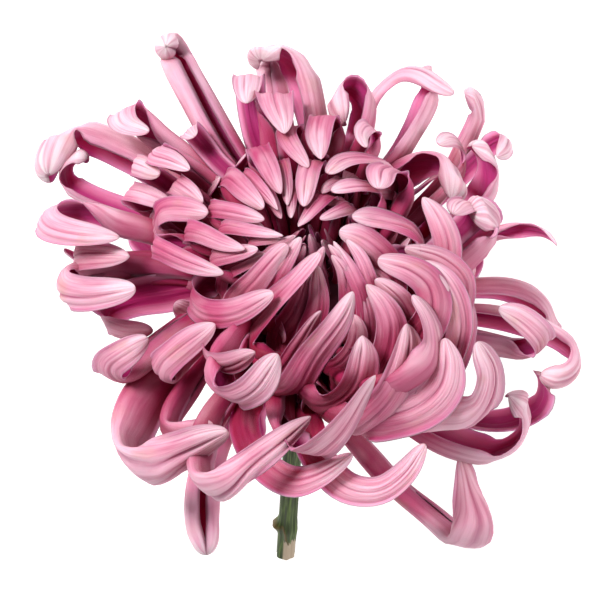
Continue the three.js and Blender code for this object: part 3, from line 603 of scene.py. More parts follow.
# %% Petals by region
PETALS = {}
PETALS["upper_left"] = [
    [8.6, 250, [[-13, 29, 22], [-17.8, 36.2, 23.5], [-23, 45, 26], [-29.4, 57.5, 29], [-32.4, 63.6, 32],
        [-34, 62.6, 36]], "channel", 38],
    [5.4, 100, [[-15, 29, 24], [-20.5, 34.5, 26], [-24.8, 39.6, 28], [-27.2, 42.4, 31], [-27.8, 42, 34],
        [-26.2, 40.8, 36]], "open"],
    [8.6, 130, [[-22.5, 28.9, 17], [-28.5, 34.9, 19], [-36.1, 40.7, 21], [-42.6, 47.8, 23],
        [-44.6, 46.8, 27], [-43.0, 44.2, 30], [-37.4, 42.6, 31.5]]],
    [12, 300, [[-37, 33.2, 10], [-45, 37.3, 11], [-52.8, 40.4, 12.5], [-58.2, 41.2, 13],
        [-60.6, 38, 12.5], [-62, 34.4, 12], [-62.4, 32.2, 12]], "open", -18],
    [7.6, 260, [[-37, 20.8, 4], [-43.6, 22.7, 4], [-51.8, 25.6, 4.5], [-57, 28.4, 6], [-59.2, 31.4, 8],
        [-58, 34.2, 11], [-55.4, 35.6, 12.5], [-52.6, 35.6, 13.5]], "open", 8],
    [6.5, 140, [[-18, 24.5, 25], [-24, 30.3, 27], [-30, 34.6, 29], [-35, 37.2, 31.5], [-36.2, 36, 35],
        [-32.4, 34.6, 37.5], [-27.8, 32, 38.5]]],
    [5.8, 130, [[-28, 24.5, 20], [-33, 28.7, 22], [-38, 32.2, 24], [-41.3, 33.6, 27], [-39.6, 33.4, 31],
        [-34.6, 32.3, 33.5]], "open"],
    [6.5, 130, [[-30, 19.5, 14], [-37, 23, 16], [-42, 26.4, 19], [-42.6, 27.2, 23.5], [-38, 26.4, 27.5],
        [-30.8, 24.1, 30.5]]],
    [6.5, 130, [[-22, 21.5, 24], [-27, 25.5, 26], [-31, 28.8, 29], [-29.6, 28, 33], [-24, 24.4, 36]]],
    [7.9, 140, [[-24, 10.5, 18], [-28.5, 13.6, 20], [-33.3, 17, 23], [-35.8, 20.6, 27.5],
        [-33, 22.7, 31.5], [-28, 22.9, 34.5], [-22.6, 22.4, 37]]],
]
PETALS["top"] = [
    [12.5, 280, [[3, 36, 20], [3.3, 42, 21.5], [2.2, 49, 23.5], [-0.5, 56.7, 26.5], [-4.7, 61.9, 30],
        [-8.2, 62.6, 31], [-10.2, 59.8, 31]], "open", -23],
    [7.6, 110, [[-7.5, 33, 22], [-10.5, 40, 24], [-12.2, 48, 26.5], [-12.6, 55.6, 29.5],
        [-12.9, 55.8, 33], [-12.8, 49.2, 36]], "open"],
    [8.2, 150, [[-4, 34, 14], [-6, 45, 16], [-7, 54, 18], [-8, 59.5, 21], [-9, 61, 24]], "quill"],
    [9.7, 120, [[-5, 33, 27], [-6.3, 42, 29], [-6.6, 50, 32], [-6.4, 51.8, 35.5], [-5.8, 47, 38.5],
        [-5, 41.4, 39.5]]],
    [5.7, 140, [[2.2, 32, 30], [1.2, 39, 31], [-1.2, 43.4, 33], [-3.4, 41.8, 36], [-1.7, 37, 38],
        [1.2, 32.6, 39]]],
    [7.7, 150, [[6, 31, 28], [8, 38, 29], [8.2, 43.5, 31], [6.2, 46, 34], [4.6, 42, 37], [5.2, 35, 39]]],
    [10, 250, [[11, 33, 23.5], [13.3, 38, 25], [15.2, 44.5, 27], [15.6, 49.8, 28.5], [13.6, 53.4, 30],
        [10.9, 53.4, 30.5], [9.6, 51, 30], [10.2, 47.5, 29], [11.2, 44, 28.5]], "open", 8],
    [5.7, 140, [[16, 33, 27], [18.3, 38, 28], [19, 42, 30], [17.3, 43.5, 33], [15.5, 41, 35],
        [16.8, 38, 35]]],
    [9.8, 260, [[17.1, 28.4, 17], [22.8, 34.8, 18.5], [27.6, 41.7, 20], [31.2, 48.9, 22], [32.4, 55, 26],
        [30.2, 57.8, 28.5]], "open", -8],
    [6.2, 240, [[15, 36.4, 14], [17.4, 45.6, 16.5], [19.4, 51, 19.5], [23.1, 54.9, 23],
        [26.9, 57.1, 26.5], [31.4, 56.3, 29], [35.4, 53.4, 29.5], [38.6, 51.6, 29]], "open", -40],
    [6.4, 140, [[-7, 27, 30], [-10.5, 34, 32], [-11, 38.2, 35], [-8, 34, 39], [-3.6, 26.8, 40]]],
    [4.0, 150, [[-3, 25, 30], [-5, 33, 34], [-4.8, 35, 36], [-3, 28, 38], [-2.7, 23.5, 38]]],
    [6.2, 140, [[-15, 24, 30], [-19.3, 29.3, 32], [-18, 30.6, 35], [-13, 26, 39], [-9.6, 22.2, 40]]],
    [4.4, 150, [[-10, 24, 31], [-14.8, 30.5, 34], [-13.5, 31, 37], [-9, 26, 40], [-6.2, 21.8, 40]]],
    [3.9, 150, [[-6, 22, 30], [-9.5, 29, 35], [-7, 25, 38], [-4.4, 20.3, 38]]],
    [6.6, 170, [[3, 25, 30], [4, 32, 33], [3.5, 35, 36], [1.7, 29.5, 39], [0.9, 23.2, 39]]],
    [3.5, 160, [[-1, 22, 30], [-1.8, 30, 34], [-1.7, 26, 37], [-1.5, 20.4, 37]]],
    [5.5, 140, [[8, 22, 30], [7.3, 26, 34], [4.5, 24, 37], [-0.5, 18.2, 37]]],
    [5.3, 140, [[14, 19, 30], [13.5, 22.5, 34], [9.5, 21.8, 37], [5, 20, 38]]],
    [7.0, 140, [[19, 22, 30], [19, 27, 34], [14, 28.4, 38], [8.2, 26.6, 39]]],
    [4.4, 150, [[13, 20, 28], [12, 24.3, 32], [7, 23.5, 35]]],
    [7.7, 130, [[21, 25, 26], [23.5, 32, 29], [18, 35, 34], [11, 34.8, 37], [6.5, 31.6, 38]]],
    [4.4, 150, [[13, 26, 28], [11.5, 30, 33], [8.5, 29, 36], [6.2, 26.3, 37]]],
    [9.4, 120, [[24, 22, 28], [26, 27.5, 31], [24.5, 32, 34], [20.5, 32.3, 38], [18.2, 27.8, 40]]],
]
PETALS["upper_right"] = [
    [11, 260, [[20, 28, 17.5], [26.6, 32.4, 19], [32.2, 34.3, 21], [36.6, 33, 22], [38, 30.6, 22.5],
        [36.8, 26.8, 22.5]], "open", -18],
    [6.7, 140, [[38.5, 30, 13], [41, 35, 15.5], [40.2, 38.6, 19], [37.6, 40.4, 22.5], [34.3, 39.4, 25]]],
    [8.8, 200, [[35.3, 28, 8], [40, 36, 9.5], [43.6, 43, 12], [45.2, 47.6, 15], [44.2, 50.4, 17.5],
        [41.6, 51.2, 19]], "open", -50],
    [10, 250, [[35.7, 15, 9.5], [42.7, 22.8, 11], [46.3, 28.8, 13.5], [47.3, 33.6, 17], [45.7, 37, 21],
        [43.3, 38.4, 23.5]], "open", -16],
    [6, 150, [[33, 25, 6], [39, 30.5, 7.5], [44.5, 35.5, 9.5], [49, 40, 12], [52, 40, 15.5],
        [51.6, 36.6, 19], [50, 35, 21]], "open"],
    [11, 130, [[22, 22, 10], [28, 26.5, 12], [35, 31.5, 15]]],
    [8, 110, [[33, 11, 19], [38, 16, 21], [42.5, 20.5, 24], [43, 23.4, 27.5], [40.5, 23.8, 30.5],
        [38, 21.2, 32]], "open"],
    [13.5, 250, [[33, 4, 16], [39.6, 9.9, 18], [45.8, 15.3, 21], [49.4, 18.4, 24], [48.6, 20.8, 26],
        [46, 21.6, 27.5], [42.3, 21.2, 28.5]], "open", -12],
    [5.3, 190, [[40, 12, 4], [50, 17, 5], [57.5, 17.8, 7], [61.5, 16.6, 9], [64.2, 13.8, 11]]],
    [9.2, 140, [[30, 2, 24], [35.4, 7.5, 27], [36.2, 13.5, 31], [33.6, 19.8, 35], [29.6, 25, 37]]],
    [14.0, 130, [[24, 4, 26], [29.5, 10.5, 30], [28.5, 16, 34.5], [21, 19.6, 39], [13, 20.2, 41]]],
    [9.4, 140, [[21, 0, 27], [22.5, 7.5, 32], [19, 12.5, 36.5], [14.5, 16, 39.5], [9.9, 17.4, 39.5]]],
]
PETALS["right"] = [
    [7.8, 120, [[36, -8, 18], [40.2, -1, 22], [40.6, 4.6, 27], [35.5, 10.2, 33], [26.2, 13.6, 38]]],
    [10.2, 120, [[27, -11, 21], [33, -3, 27], [32.4, 4, 32], [27.4, 9, 37], [19.8, 11.7, 39]]],
    [9.0, 120, [[34, -17, 14], [39, -10, 19], [39, -2, 26], [35.5, 5, 32], [30.6, 9.6, 35]]],
    [7.5, 130, [[36, -18, 10], [40.5, -10, 14], [41, -2, 20], [38.5, 3.5, 21.5]]],
    [12.0, 120, [[17, -22, 15], [27, -19, 20], [32.5, -11, 26], [31.4, -4, 31], [27.8, 1.2, 34]]],
    [13.2, 120, [[16, -29, 8], [28, -28, 11], [36, -22, 17], [38.2, -15, 23], [37.8, -9.2, 27]]],
    [13.4, 120, [[20, -29, 4], [35, -29, 6], [45, -25.5, 10], [47, -18, 16], [44.2, -10, 23]]],
    [13.5, 240, [[20, -26.4, -6], [30, -31, -10], [41, -35.9, -11], [50.1, -37.2, -11], [55.1, -33.2, -7],
        [55.1, -27.2, -2], [51.5, -22.8, 3]], "open", 12],
    [10.5, 130, [[40, -29, -13], [50, -30.2, -14.5], [56, -28.6, -14], [60.4, -25.6, -11],
        [61.2, -21.8, -7.5], [59.4, -18.6, -3]], "open", -14],
    [7.8, 260, [[34, -3.5, 0], [46, -4, -1], [56.2, -6.2, -1], [64.6, -9.6, -1], [68.6, -13.6, -2],
        [67.6, -18.2, -3], [63.8, -20.2, -3], [59.6, -19.4, -1.5]], "open", -10],
    [8.6, 280, [[30, 1.4, -2], [42, 2.6, -4], [52, 2.2, -6], [58.6, -0.6, -8.5], [62.2, -5.0, -11],
        [62.6, -9.6, -13]], "open", -11],
    [8.1, 110, [[32, -8, 2], [44, -10, 1], [55, -12, 1], [60.6, -12, 4], [60, -9, 9], [55, -5.4, 13.5],
        [49, -3.4, 16]]],
]
PETALS["bottom"] = [
    [11.8, 170, [[9, -28, -14], [15.8, -37.2, -22], [24.5, -47.1, -28], [33.5, -54.5, -32],
        [40.7, -60.1, -33], [43.0, -59.5, -30], [43.1, -53.4, -25], [40.5, -46.4, -18],
        [37.8, -40, -12]], "rolled"],
    [9.2, 120, [[2, -33, 2], [6, -41, -3], [12, -46.8, -7], [20, -48.0, -7], [27, -43.8, -3],
        [32.4, -36.6, 3]]],
    [9.2, 120, [[-14, -28, 2], [-12.2, -36.6, -4], [-6.6, -42.7, -7.5], [-1.4, -45, -7], [4, -43.8, -3.5],
        [9, -41, 0], [13, -38, 4]]],
    [12.1, 110, [[-4, -31, 6], [1, -37.5, 4], [7, -34.5, 11], [13, -28.5, 17], [19.8, -19.6, 23]]],
    [12, 110, [[-15, -20, 8], [-22, -30.6, 0], [-24.4, -41.2, -7], [-23.2, -46.4, -7], [-19.4, -46, -3],
        [-13, -40.6, 2.5], [-5.5, -34.6, 8], [2.4, -28.4, 13]], "rolled"],
    [17, 190, [[-24, -10, 2], [-32.6, -18.3, -4], [-39.8, -27.6, -9], [-43, -36.2, -12],
        [-41.3, -40.7, -11.5], [-36.9, -40.9, -7.5], [-27.2, -36.8, -1], [-17, -33.6, 5]],
              "rolled"],
    [8.5, 140, [[-18, -10, 0], [-27.6, -22, -5], [-32.4, -30.2, -7], [-32.4, -33.6, -6], [-27, -33, -2],
        [-21, -32, 2]], "rolled"],
    [8, 250, [[-19.1, -30, -18], [-23.5, -42, -26], [-24.8, -54, -33], [-24.1, -63.6, -37]], "channel"],
    [12.1, 120, [[-14, -8, 22], [-19.5, -16, 18], [-18, -23.5, 16], [-11.5, -22, 22], [-5, -13.6, 29]]],
    [8, 110, [[-12, 0, 20], [-18, -5.5, 18.5], [-22.4, -11.4, 17.5], [-21.4, -15, 19.5], [-17, -16, 23],
        [-10.4, -13.6, 28]], "open"],
]
PETALS["left"] = [
    [8.9, 130, [[-20, -6, 12], [-28, -12, 9.5], [-33.6, -17.4, 9], [-34.6, -16.6, 13.5],
        [-29.4, -12, 19.5], [-21.2, -5.6, 26]]],
    [9, 140, [[-22, -2.2, 8], [-33, -9.3, 4], [-41.8, -17.1, 1], [-47, -19, 2.5], [-47.5, -16.1, 7.5],
        [-44.4, -13.7, 12], [-37.6, -9.6, 15.5]]],
    [10.5, 170, [[-24, 2.5, 8], [-34, 1.6, 6], [-43, 0, 5], [-49, -2.8, 4.5], [-49, -5.2, 4.5],
        [-44.2, -7, 5], [-37.2, -6.6, 7]], "open", 25],
    [9.7, 130, [[-28, 6, 10], [-42, 7, 9], [-52, 6.6, 9], [-57.2, 4.2, 11], [-57.6, 2.2, 15],
        [-52, 1.4, 19], [-40.8, 3, 24]]],
    [7.9, 140, [[-34, 8.5, 10], [-45, 8.5, 10], [-54, 9, 11], [-56, 10.8, 15], [-50.5, 11.2, 19],
        [-42.4, 10.7, 22]]],
    [6.1, 150, [[-34, 7, 4], [-46, 8.4, 3], [-54, 10, 4], [-59, 12.4, 7]]],
    [9.8, 190, [[-34, 15.5, 14], [-46, 19, 14], [-57.2, 22.2, 15], [-62.6, 21.6, 18], [-62.5, 18.4, 22],
        [-57, 16.2, 25], [-45, 14.9, 27]]],
    [6.4, 140, [[-22, 11.5, 26], [-30, 13.6, 26], [-36, 13.6, 28], [-34.4, 12.4, 32], [-28, 9.6, 35],
        [-18.8, 7.2, 37]]],
    [6.0, 140, [[-18, 12, 29], [-24.4, 14.6, 30], [-28.4, 17, 32], [-25.4, 16.8, 36], [-19.6, 14.8, 38.5],
        [-13.4, 13.2, 40]]],
    [5.5, 140, [[-14, 4, 27], [-20, 8, 30], [-22, 9.8, 32], [-17, 11, 36], [-10.4, 12, 39]]],
    [5.5, 140, [[-14, 14, 30], [-19.6, 19, 32], [-23, 22.4, 34], [-16.5, 21.8, 38], [-8.8, 20, 40]]],
    [4.4, 150, [[-13, 10, 30], [-19, 15.5, 33], [-20, 17.8, 35], [-12, 17, 39], [-4.2, 15.6, 40]]],
    [3.9, 150, [[-16, 16, 31], [-14, 19.2, 35], [-9.6, 17.8, 38]]],
    [3.9, 160, [[-8, 8, 30], [-13, 13.5, 34], [-12, 14.5, 36], [-4.8, 14.6, 38]]],
]
PETALS["heart"] = [
    [5.4, 140, [[-13, 0, 24], [-11, 6, 30], [-6, 12, 36], [-0.9, 15.8, 39]]],
    [7.8, 120, [[-14, -9, 18], [-16, -1.5, 24], [-10, 5, 32], [-2.2, 12.8, 40]]],
    [6.2, 130, [[-9, -6, 22], [-8, 1.5, 28], [-3.5, 8.5, 36], [1, 15, 40]]],
    [10.3, 110, [[-6, -14, 16], [-13, -9.5, 20], [-8, -2, 29], [-1, 6, 38], [3.7, 12, 41]]],
    [4.9, 140, [[1, -4, 26], [1.5, 4, 33], [5.3, 13.5, 40]]],
    [7.0, 130, [[-3, -16, 14], [-5.5, -10, 18], [0, -2, 28], [3.5, 7, 37]]],
    [7.3, 130, [[2, -16, 15], [2, -9, 21], [5, -0.5, 31], [5.1, 8.6, 38]]],
    [5.4, 140, [[11, -6, 22], [12, 0, 29], [10, 6.5, 36], [6.9, 10.4, 39]]],
    [4.6, 140, [[13, -8, 22], [13.5, 0, 30], [10.5, 8.5, 37], [6.4, 13.2, 40]]],
    [5.1, 140, [[15.5, -9, 22], [16, -1, 30], [13, 7.5, 37], [9.1, 15, 40]]],
    [5.1, 140, [[18, -6, 24], [18, 1, 31], [15, 9.5, 38], [10.9, 14.5, 39]]],
    [6.8, 140, [[15, -14, 18], [18, -8, 24], [17.5, -1, 30], [16, 4, 33]]],
    [9.5, 120, [[14, -22, 12], [21, -15, 20], [22.8, -6, 28], [20.5, 0, 33], [16.8, 4.2, 36]]],
    [7.8, 130, [[22, -13, 17], [27, -7, 23], [25.5, -0.5, 30], [22, 3.5, 34], [18.9, 5.6, 36]]],
    [5.4, 140, [[22, -4, 24], [20.5, 4, 32], [16, 8, 34.5]]],
    [13.5, 110, [[8, -28, 6], [17, -28.5, 11], [23.5, -21.5, 19], [25, -13.5, 26], [24.2, -6, 31]]],
    [12.2, 110, [[3, -23, 10], [9, -25, 13], [14.5, -20, 20], [16.8, -12, 27], [16.7, -8.8, 29]]],
    [6.2, 130, [[9, -17, 14], [13.5, -12, 20], [14.3, -7, 26], [12.9, -3.6, 29]]],
    [10.8, 120, [[-8, -18, 12], [-3, -22, 14], [3, -13.5, 24], [9.5, -4.5, 34], [12.9, 2.2, 39]]],
    [7.3, 130, [[-10, -15, 14], [-6, -18.5, 15], [0, -11.5, 24], [6.1, -2.9, 34]]],
    [8.6, 110, [[-18, 4, 22], [-25, 3, 21], [-27, 0.5, 22], [-23, -3, 25], [-16, -2.8, 29],
        [-6.6, 1.9, 37]]],
    [6.2, 140, [[-13, -3, 20], [-19, 1.5, 24], [-18, 6.5, 29], [-8.5, 10, 36]]],
]
PETALS["stem_side"] = [
    [6.0, 160, [[-9, -24, -12], [-10.5, -29, -15], [-9, -34, -18]]],
    [5.0, 160, [[-4.5, -25, -10], [-2.5, -33, -13], [1, -38, -15]]],
]
PETALS["resting"] = [
    [10.0, 130, [[10, 2, -5], [19, 9, -11], [25, 15, -18], [27.5, 19, -23.5], [25, 24, -18.5]]],
    [10.0, 130, [[-9, 2, -5], [-18, 9, -12], [-24.5, 15, -20], [-27, 19, -25.5], [-24, 24, -20.5]]],
]


# %% Whorls of the petals that fill up the bloom
# They stand in the heart, under the face and, in this fine bloom only, between the placed petals and in the
# eye. Each whorl has a count, the width, fold and length of a petal, its lean from the axis at the root, how
# far it curls back, where the curl starts, and the arc it fills, in degrees round the axis from +X with 90 at
# the table.
RING = (0, 360)
WHORLS = {
    "heart": [
        dict(count=8, width=4, fold=190, length=33, lean=14, curl=35, start=0.3, arc=RING),
    ],
    "under": [
        dict(count=5, width=8, fold=130, length=54, lean=66, curl=120, start=0.45, arc=(44, 136)),
        dict(count=6, width=8.5, fold=130, length=60, lean=86, curl=115, start=0.5, arc=(34, 146)),
        dict(count=7, width=9.5, fold=130, length=62, lean=103, curl=110, start=0.55, arc=(30, 150)),
        dict(count=5, width=10, fold=130, length=66, lean=116, curl=62, start=0.6, arc=(52, 128)),
    ],
    "between": [
        dict(count=13, width=7, fold=120, length=36, lean=50, curl=10, start=0.5, arc=RING),
        dict(count=13, width=9, fold=120, length=36, lean=74, curl=10, start=0.5, arc=RING),
    ],
    "eye": [
        dict(count=11, width=3.8, fold=190, length=33, lean=27, curl=55, start=0.35, arc=RING),
    ],
}
SEED = 41
SIDE = unit(np.array([1.0, 0.0, 0.0]) - AXIS * AXIS[0])
DOWN = np.cross(AXIS, SIDE)  # across the face, towards the table
WHORL_PARTS = 12  # of a petal's length, in which its heading changes


def around(radius, angle, height):
    """The point at a radius, an angle round the axis and a height along it."""
    return HEART + AXIS * height + SIDE * radius * math.cos(angle) + DOWN * radius * math.sin(angle)


def draws(seed):
    """Repeatable numbers between -1 and 1."""
    multiplier, modulus = 16807, 2147483647
    state = seed
    while True:
        state = state * multiplier % modulus
        yield state / modulus * 2 - 1


def whorl_marks(length, lean, curl, start, angle, sway):
    """The points of one petal: outwards at its lean, then curling back towards the axis."""
    marks = []
    radius = height = 0.0
    for k in range(1, WHORL_PARTS + 1):
        s = k / WHORL_PARTS
        heading = math.radians(lean - curl * float(smoothstep(s, start, 1.05)))
        radius += length / WHORL_PARTS * math.sin(heading)
        height += length / WHORL_PARTS * math.cos(heading)
        if k % 2 == 0 and k > 2:
            marks.append(around(radius, angle + sway * s * s, height))
    return marks


def whorl_rows(whorl, draw):
    first, last = (math.radians(a) for a in whorl["arc"])
    gaps = whorl["count"] if whorl["arc"] == RING else whorl["count"] - 1
    step = (last - first) / gaps
    for k in range(whorl["count"]):
        angle = first + step * (k + 0.25 * next(draw))
        length = whorl["length"] * (1 + 0.07 * next(draw))
        lean = whorl["lean"] + 4 * next(draw)
        curl = whorl["curl"] * (1 + 0.2 * next(draw))
        sway = 0.25 * next(draw)
        width = whorl["width"] * (1 + 0.12 * next(draw))
        yield width, whorl["fold"], whorl_marks(length, lean, curl, whorl["start"], angle, sway)


# %% Lay and join the petals of each region
def petal_piece(name, petals):
    piece = join_pieces(petals, name)
    piece.data.materials.append(petal_skin)
    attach(piece, "root")
    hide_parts("bloom")
    print(name, len(petals), "petals", len(piece.data.polygons), "faces")


number = 0
for region, rows in PETALS.items():
    petals = []
    for width, fold, marks, *manner in rows:
        number += 1
        style = manner[0] if manner else "strap"
        tilt = manner[1] if len(manner) > 1 else 0
        route = with_root([above(*mark) for mark in marks])
        petals.append(lay_petal(width, fold, route, style, tilt, number, fine_blank))
    petal_piece(f"petals_{region}", petals)

draw = draws(SEED)
for region, whorls in WHORLS.items():
    petals = []
    for whorl in whorls:
        for width, fold, marks in whorl_rows(whorl, draw):
            number += 1
            petals.append(lay_petal(width, fold, with_root(marks), "strap", 0, number, plain_blank))
    petal_piece(f"whorls_{region}", petals)

# %% [markdown]
# ## The knob behind the petals
# The imported bases of the petals form a knob, which shows only as darkness between them: its near-black
# maroon is painted shade. It is a ball, flattened where it sits on the cup of bracts.

# %% Knob
KNOB_RADIUS = 16.5
KNOB_TOP = 21.0
KNOB_BACK = -5.0


def place_on_axis(piece, height):
    """Turns a piece made round +Z onto the axis, a height in mm along it from the heart, into its mesh."""
    turn = Vector((0, 0, 1)).rotation_difference(Vector(AXIS)).to_matrix().to_4x4()
    piece.data.transform(turn)
    origin = Vector((HEART + AXIS * height + FLOWER_CENTRE) * MM)
    for vertex in piece.data.vertices:
        vertex.co += origin
    piece.data.update()


bpy.ops.object.select_all(action="DESELECT")
bpy.ops.mesh.primitive_uv_sphere_add(segments=48, ring_count=32, radius=1.0)
knob = bpy.context.object
knob.name = "knob"
waist = KNOB_BACK + (KNOB_TOP - KNOB_BACK) / 3
for vertex in knob.data.vertices:
    x, y, z = vertex.co
    half_height = KNOB_TOP - waist if z > 0 else waist - KNOB_BACK
    vertex.co = Vector((x * KNOB_RADIUS, y * KNOB_RADIUS, z * half_height + waist)) * MM
place_on_axis(knob, 0)
bpy.ops.object.shade_smooth()
knob.data.materials.append(petal_shade)
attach(knob, "root")
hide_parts("bloom")
print("knob", len(knob.data.polygons), "faces")

# %% [markdown]
# ## The cup of bracts
# Behind the bloom sits a shallow green cup, wrapped in rows of small pointed bracts with papery margins. The
# cup is drawn out of a circle by extruding and scaling ring after ring. The bracts are copies of one blank.

# %% Cup
CUP_TOP = -5.3
CUP_DEPTH = 9.0
CUP_RINGS = [  # radius in mm, and how far up it lies as a share of the depth
    (3.0, 0.0), (3.5, 0.1), (4.2, 0.25), (5.9, 0.47), (7.5, 0.7), (8.5, 0.87), (9.0, 1.0),
]
STEM_RADIUS = 2.4

bpy.ops.object.select_all(action="DESELECT")
foot = CUP_TOP - CUP_DEPTH
foot_radius = CUP_RINGS[0][0] * MM
bpy.ops.mesh.primitive_circle_add(vertices=48, radius=foot_radius, fill_type="NGON", location=(0, 0, 0))
cup = bpy.context.object
cup.name = "bract_cup"
bpy.ops.object.mode_set(mode="EDIT")
bpy.ops.mesh.select_all(action="SELECT")
for (before, low), (radius, high) in zip(CUP_RINGS, CUP_RINGS[1:]):
    lift = (high - low) * CUP_DEPTH * MM
    bpy.ops.mesh.extrude_region_move(TRANSFORM_OT_translate={"value": (0, 0, lift)})
    bpy.ops.transform.resize(value=(radius / before, radius / before, 1))
bpy.ops.mesh.select_all(action="SELECT")
bpy.ops.mesh.normals_make_consistent(inside=False)
bpy.ops.object.mode_set(mode="OBJECT")
place_on_axis(cup, foot)

# %% Bracts
BRACT_ROWS = [(6, 0.4, 4.0), (8, 0.66, 5.0), (8, 0.84, 5.2), (8, 1.0, 5.4)]  # count, reach up the cup, width
BRACT_FOLD = math.radians(52)  # half of it, from the keel to a margin
BRACT_THICK = 0.45
KEEL = 0.25  # how far the keel stands out, in mm
OUTSIDE_CUP = 1.3  # how far a bract of the top row stands out from the cup's rim, in mm


def lay_bract(width, route):
    """A copy of the blank as a bract: pointed, keeled, and thin at its margins."""
    ball, along, across, face = plain_blank
    middle, tangent, normal = (at_points(values, along) for values in trace(route, 0)[:3])
    half_width = width / 2 * np.sqrt(np.maximum(0, 1 - np.abs(2 * along**0.8 - 1) ** 2.6))
    half_width = half_width * (1 - 0.35 * along**3)
    theta = across * BRACT_FOLD
    radius = half_width / math.sin(BRACT_FOLD)
    skin = BRACT_THICK * (1 - across**4) * (1 - 0.5 * along) * np.minimum(1, half_width)
    keel = KEEL * np.exp(-((across / 0.16) ** 2)) * (1 - along) * np.minimum(1, half_width)
    x = radius * np.sin(theta)
    y = radius * (1 - np.cos(theta)) + face * skin / 2 - keel * (face <= 0)
    bract = copy_blank(ball, middle, np.cross(normal, tangent), normal, x, y)
    add_attribute(bract.data, "parts", np.maximum(face, 0), along, np.abs(across))
    return bract


bracts = []
for row, (count, reach, width) in enumerate(BRACT_ROWS):
    tip = STEM_RADIUS + (CUP_RINGS[-1][0] + OUTSIDE_CUP - STEM_RADIUS) * reach
    spots = [(2.2, 0.1), (0.55 * tip, 0.28 * reach + 0.02), (0.92 * tip, 0.78 * reach), (tip, 0.95 * reach)]
    for k in range(count):
        angle = 2 * math.pi * (k + row / 2) / count
        bracts.append(lay_bract(width, [around(r, angle, foot + CUP_DEPTH * up) for r, up in spots]))
calyx = join_pieces([cup, *bracts], "calyx_bracts")
calyx.data.materials.clear()
calyx.data.materials.append(bract_skin)
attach(calyx, "root")
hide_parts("calyx")
print("calyx", len(calyx.data.polygons), "faces")
bpy.data.objects.remove(fine_blank[0])
bpy.data.objects.remove(plain_blank[0])

# %% [markdown]
# ## The stem
# A chrysanthemum's stem is ribbed and a little woody, with a white pith. This one was cut short. It has the
# brown knob that a side bud left, a leaf scar that runs down from it, and a patch near the end where the skin
# is peeled. A cylinder is cut into rings, and its ribs and scars are raised point by point.

# %% Stem
STEM_TOP = CUP_TOP - CUP_DEPTH - 0.3
STEM_LENGTH = 65.8
STEM_SIDES = 72
STEM_RINGS = 110
RIM_INSETS = [((0.35, 0.35), 0.3), ((0.7, 0.5), 0.9)]  # of the ends, and how much they draw in, in mm

bpy.ops.object.select_all(action="DESELECT")
size = {"radius": STEM_RADIUS * MM, "depth": STEM_LENGTH * MM}
bpy.ops.mesh.primitive_cylinder_add(vertices=STEM_SIDES, end_fill_type="NGON", **size)
stem = bpy.context.object
stem.name = "cut_stem"
bpy.ops.object.mode_set(mode="EDIT")
bpy.ops.mesh.select_all(action="DESELECT")
bpy.ops.object.mode_set(mode="OBJECT")
for edge in stem.data.edges:
    low, high = (stem.data.vertices[v].co for v in edge.vertices)
    edge.select = abs(low.z - high.z) > STEM_LENGTH / 2 * MM
bpy.context.tool_settings.mesh_select_mode = (False, True, False)
bpy.ops.object.mode_set(mode="EDIT")
bpy.ops.mesh.subdivide(number_cuts=STEM_RINGS)
bpy.ops.mesh.select_all(action="DESELECT")
bpy.ops.object.mode_set(mode="OBJECT")
bpy.context.tool_settings.mesh_select_mode = (False, False, True)
for polygon in stem.data.polygons:
    polygon.select = abs(polygon.normal.z) > 0.9
bpy.ops.object.mode_set(mode="EDIT")
for insets, shorter in RIM_INSETS:
    for inset in insets:
        bpy.ops.mesh.inset(thickness=inset * MM)
    bpy.ops.transform.resize(value=(1, 1, (STEM_LENGTH - shorter) / STEM_LENGTH))
bpy.ops.object.mode_set(mode="OBJECT")

# %% Where the ribs, the knob, the leaf scar and the peeled patch lie
# a spot is given by mm down the stem and degrees round it from the side that faces up
KNOB_SPOT = (54.8, -88.0)  # where the bud was
LEAF_SCAR = [(55.0, -70.0), (54.2, -30.0), (56.4, -14.0), (58.6, -9.0), (60.6, 14.0)]
NODE_DOWN = 55.5  # where the stem swells
PEEL_TOP = 59.6
PEEL_LEFT = (-26, -18)  # degrees between which the patch sets in, and ends on the other side
PEEL_RIGHT = (78, 92)
BARK_RADIUS = 3  # on which the fibres' pattern is wound

rod = mesh_points(stem.data) / MM
down = STEM_LENGTH / 2 - rod[:, 2]
spin = np.degrees(np.arctan2(rod[:, 0], -rod[:, 1]))
turn = np.radians(spin)
skin_share = smoothstep(np.hypot(rod[:, 0], rod[:, 1]), STEM_RADIUS * 0.8, STEM_RADIUS)


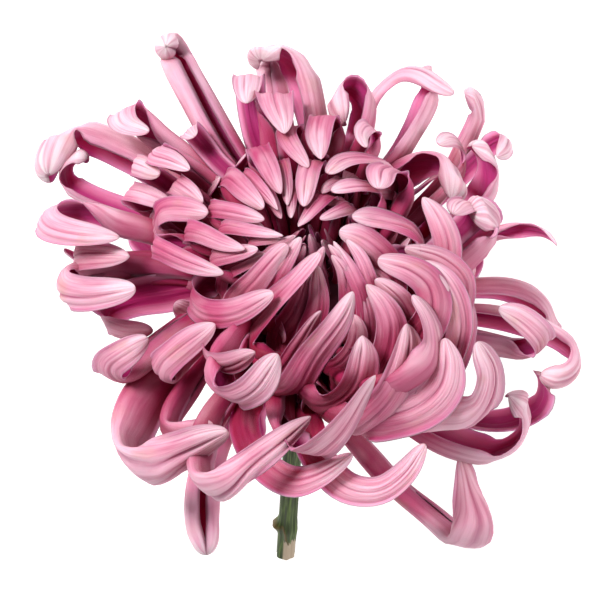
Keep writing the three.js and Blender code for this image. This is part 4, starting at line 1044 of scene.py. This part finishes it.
def distance_to(spot):
    """How far each point of the stem's skin is from a spot on it, in mm."""
    round_it = np.radians((spin - spot[1] + 180) % 360 - 180) * STEM_RADIUS
    return np.hypot(down - spot[0], round_it)


def spots_between(spots, count):
    """Evenly spread spots along a broken line on the stem."""
    steps = np.linspace(0, len(spots) - 1, count)
    return np.stack([np.interp(steps, range(len(spots)), values) for values in zip(*spots)], axis=1)


def bump(distance, size, power=2):
    """1 in the middle of a bump, and falling to 0 past its size."""
    return np.exp(-((distance / size) ** power))


scar = np.min([distance_to(spot) for spot in spots_between(LEAF_SCAR, 40)], axis=0)
knob_near = distance_to(KNOB_SPOT)
peel_edge = PEEL_TOP + 0.5 * np.sin(spin * 0.11) + 0.3 * np.sin(spin * 0.31)
peel = smoothstep(down, peel_edge - 0.15, peel_edge + 0.15)
peel = peel * smoothstep(spin, *PEEL_LEFT) * (1 - smoothstep(spin, *PEEL_RIGHT))

# %% Raise the ribs, the knob and the scar
relief = 0.14 * np.cos(turn * 6) + 0.03 * np.cos(turn * 17)  # six ribs, and finer ones between them
relief += 0.25 * bump(down - NODE_DOWN, 2.2) + 0.22 * bump(scar, 0.22) - 0.18 * peel
relief += 1.75 * bump(knob_near, 1.25) - 0.5 * bump(knob_near, 0.45)
wider = 1 + skin_share * relief / STEM_RADIUS
rod[:, 0] *= wider
rod[:, 1] *= wider
stem.data.vertices.foreach_set("co", (rod * MM).ravel())
add_attribute(stem.data, "bark", np.cos(turn) * BARK_RADIUS, np.sin(turn) * BARK_RADIUS, down)
brown = np.maximum(bump(scar, 0.3), bump(knob_near, 1.5, 4))
add_attribute(stem.data, "marks", brown * skin_share, peel * skin_share, 1 - skin_share)
place_on_axis(stem, STEM_TOP - STEM_LENGTH / 2)
for vertex in stem.data.vertices:
    vertex.co.z = max(vertex.co.z, 0)
bpy.ops.object.select_all(action="DESELECT")
stem.select_set(True)
bpy.context.view_layer.objects.active = stem
bpy.ops.object.shade_smooth_by_angle(angle=math.radians(50))
stem.data.materials.clear()
stem.data.materials.append(stem_skin)
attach(stem, "root")
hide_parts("stem")
print("stem", len(stem.data.polygons), "faces")
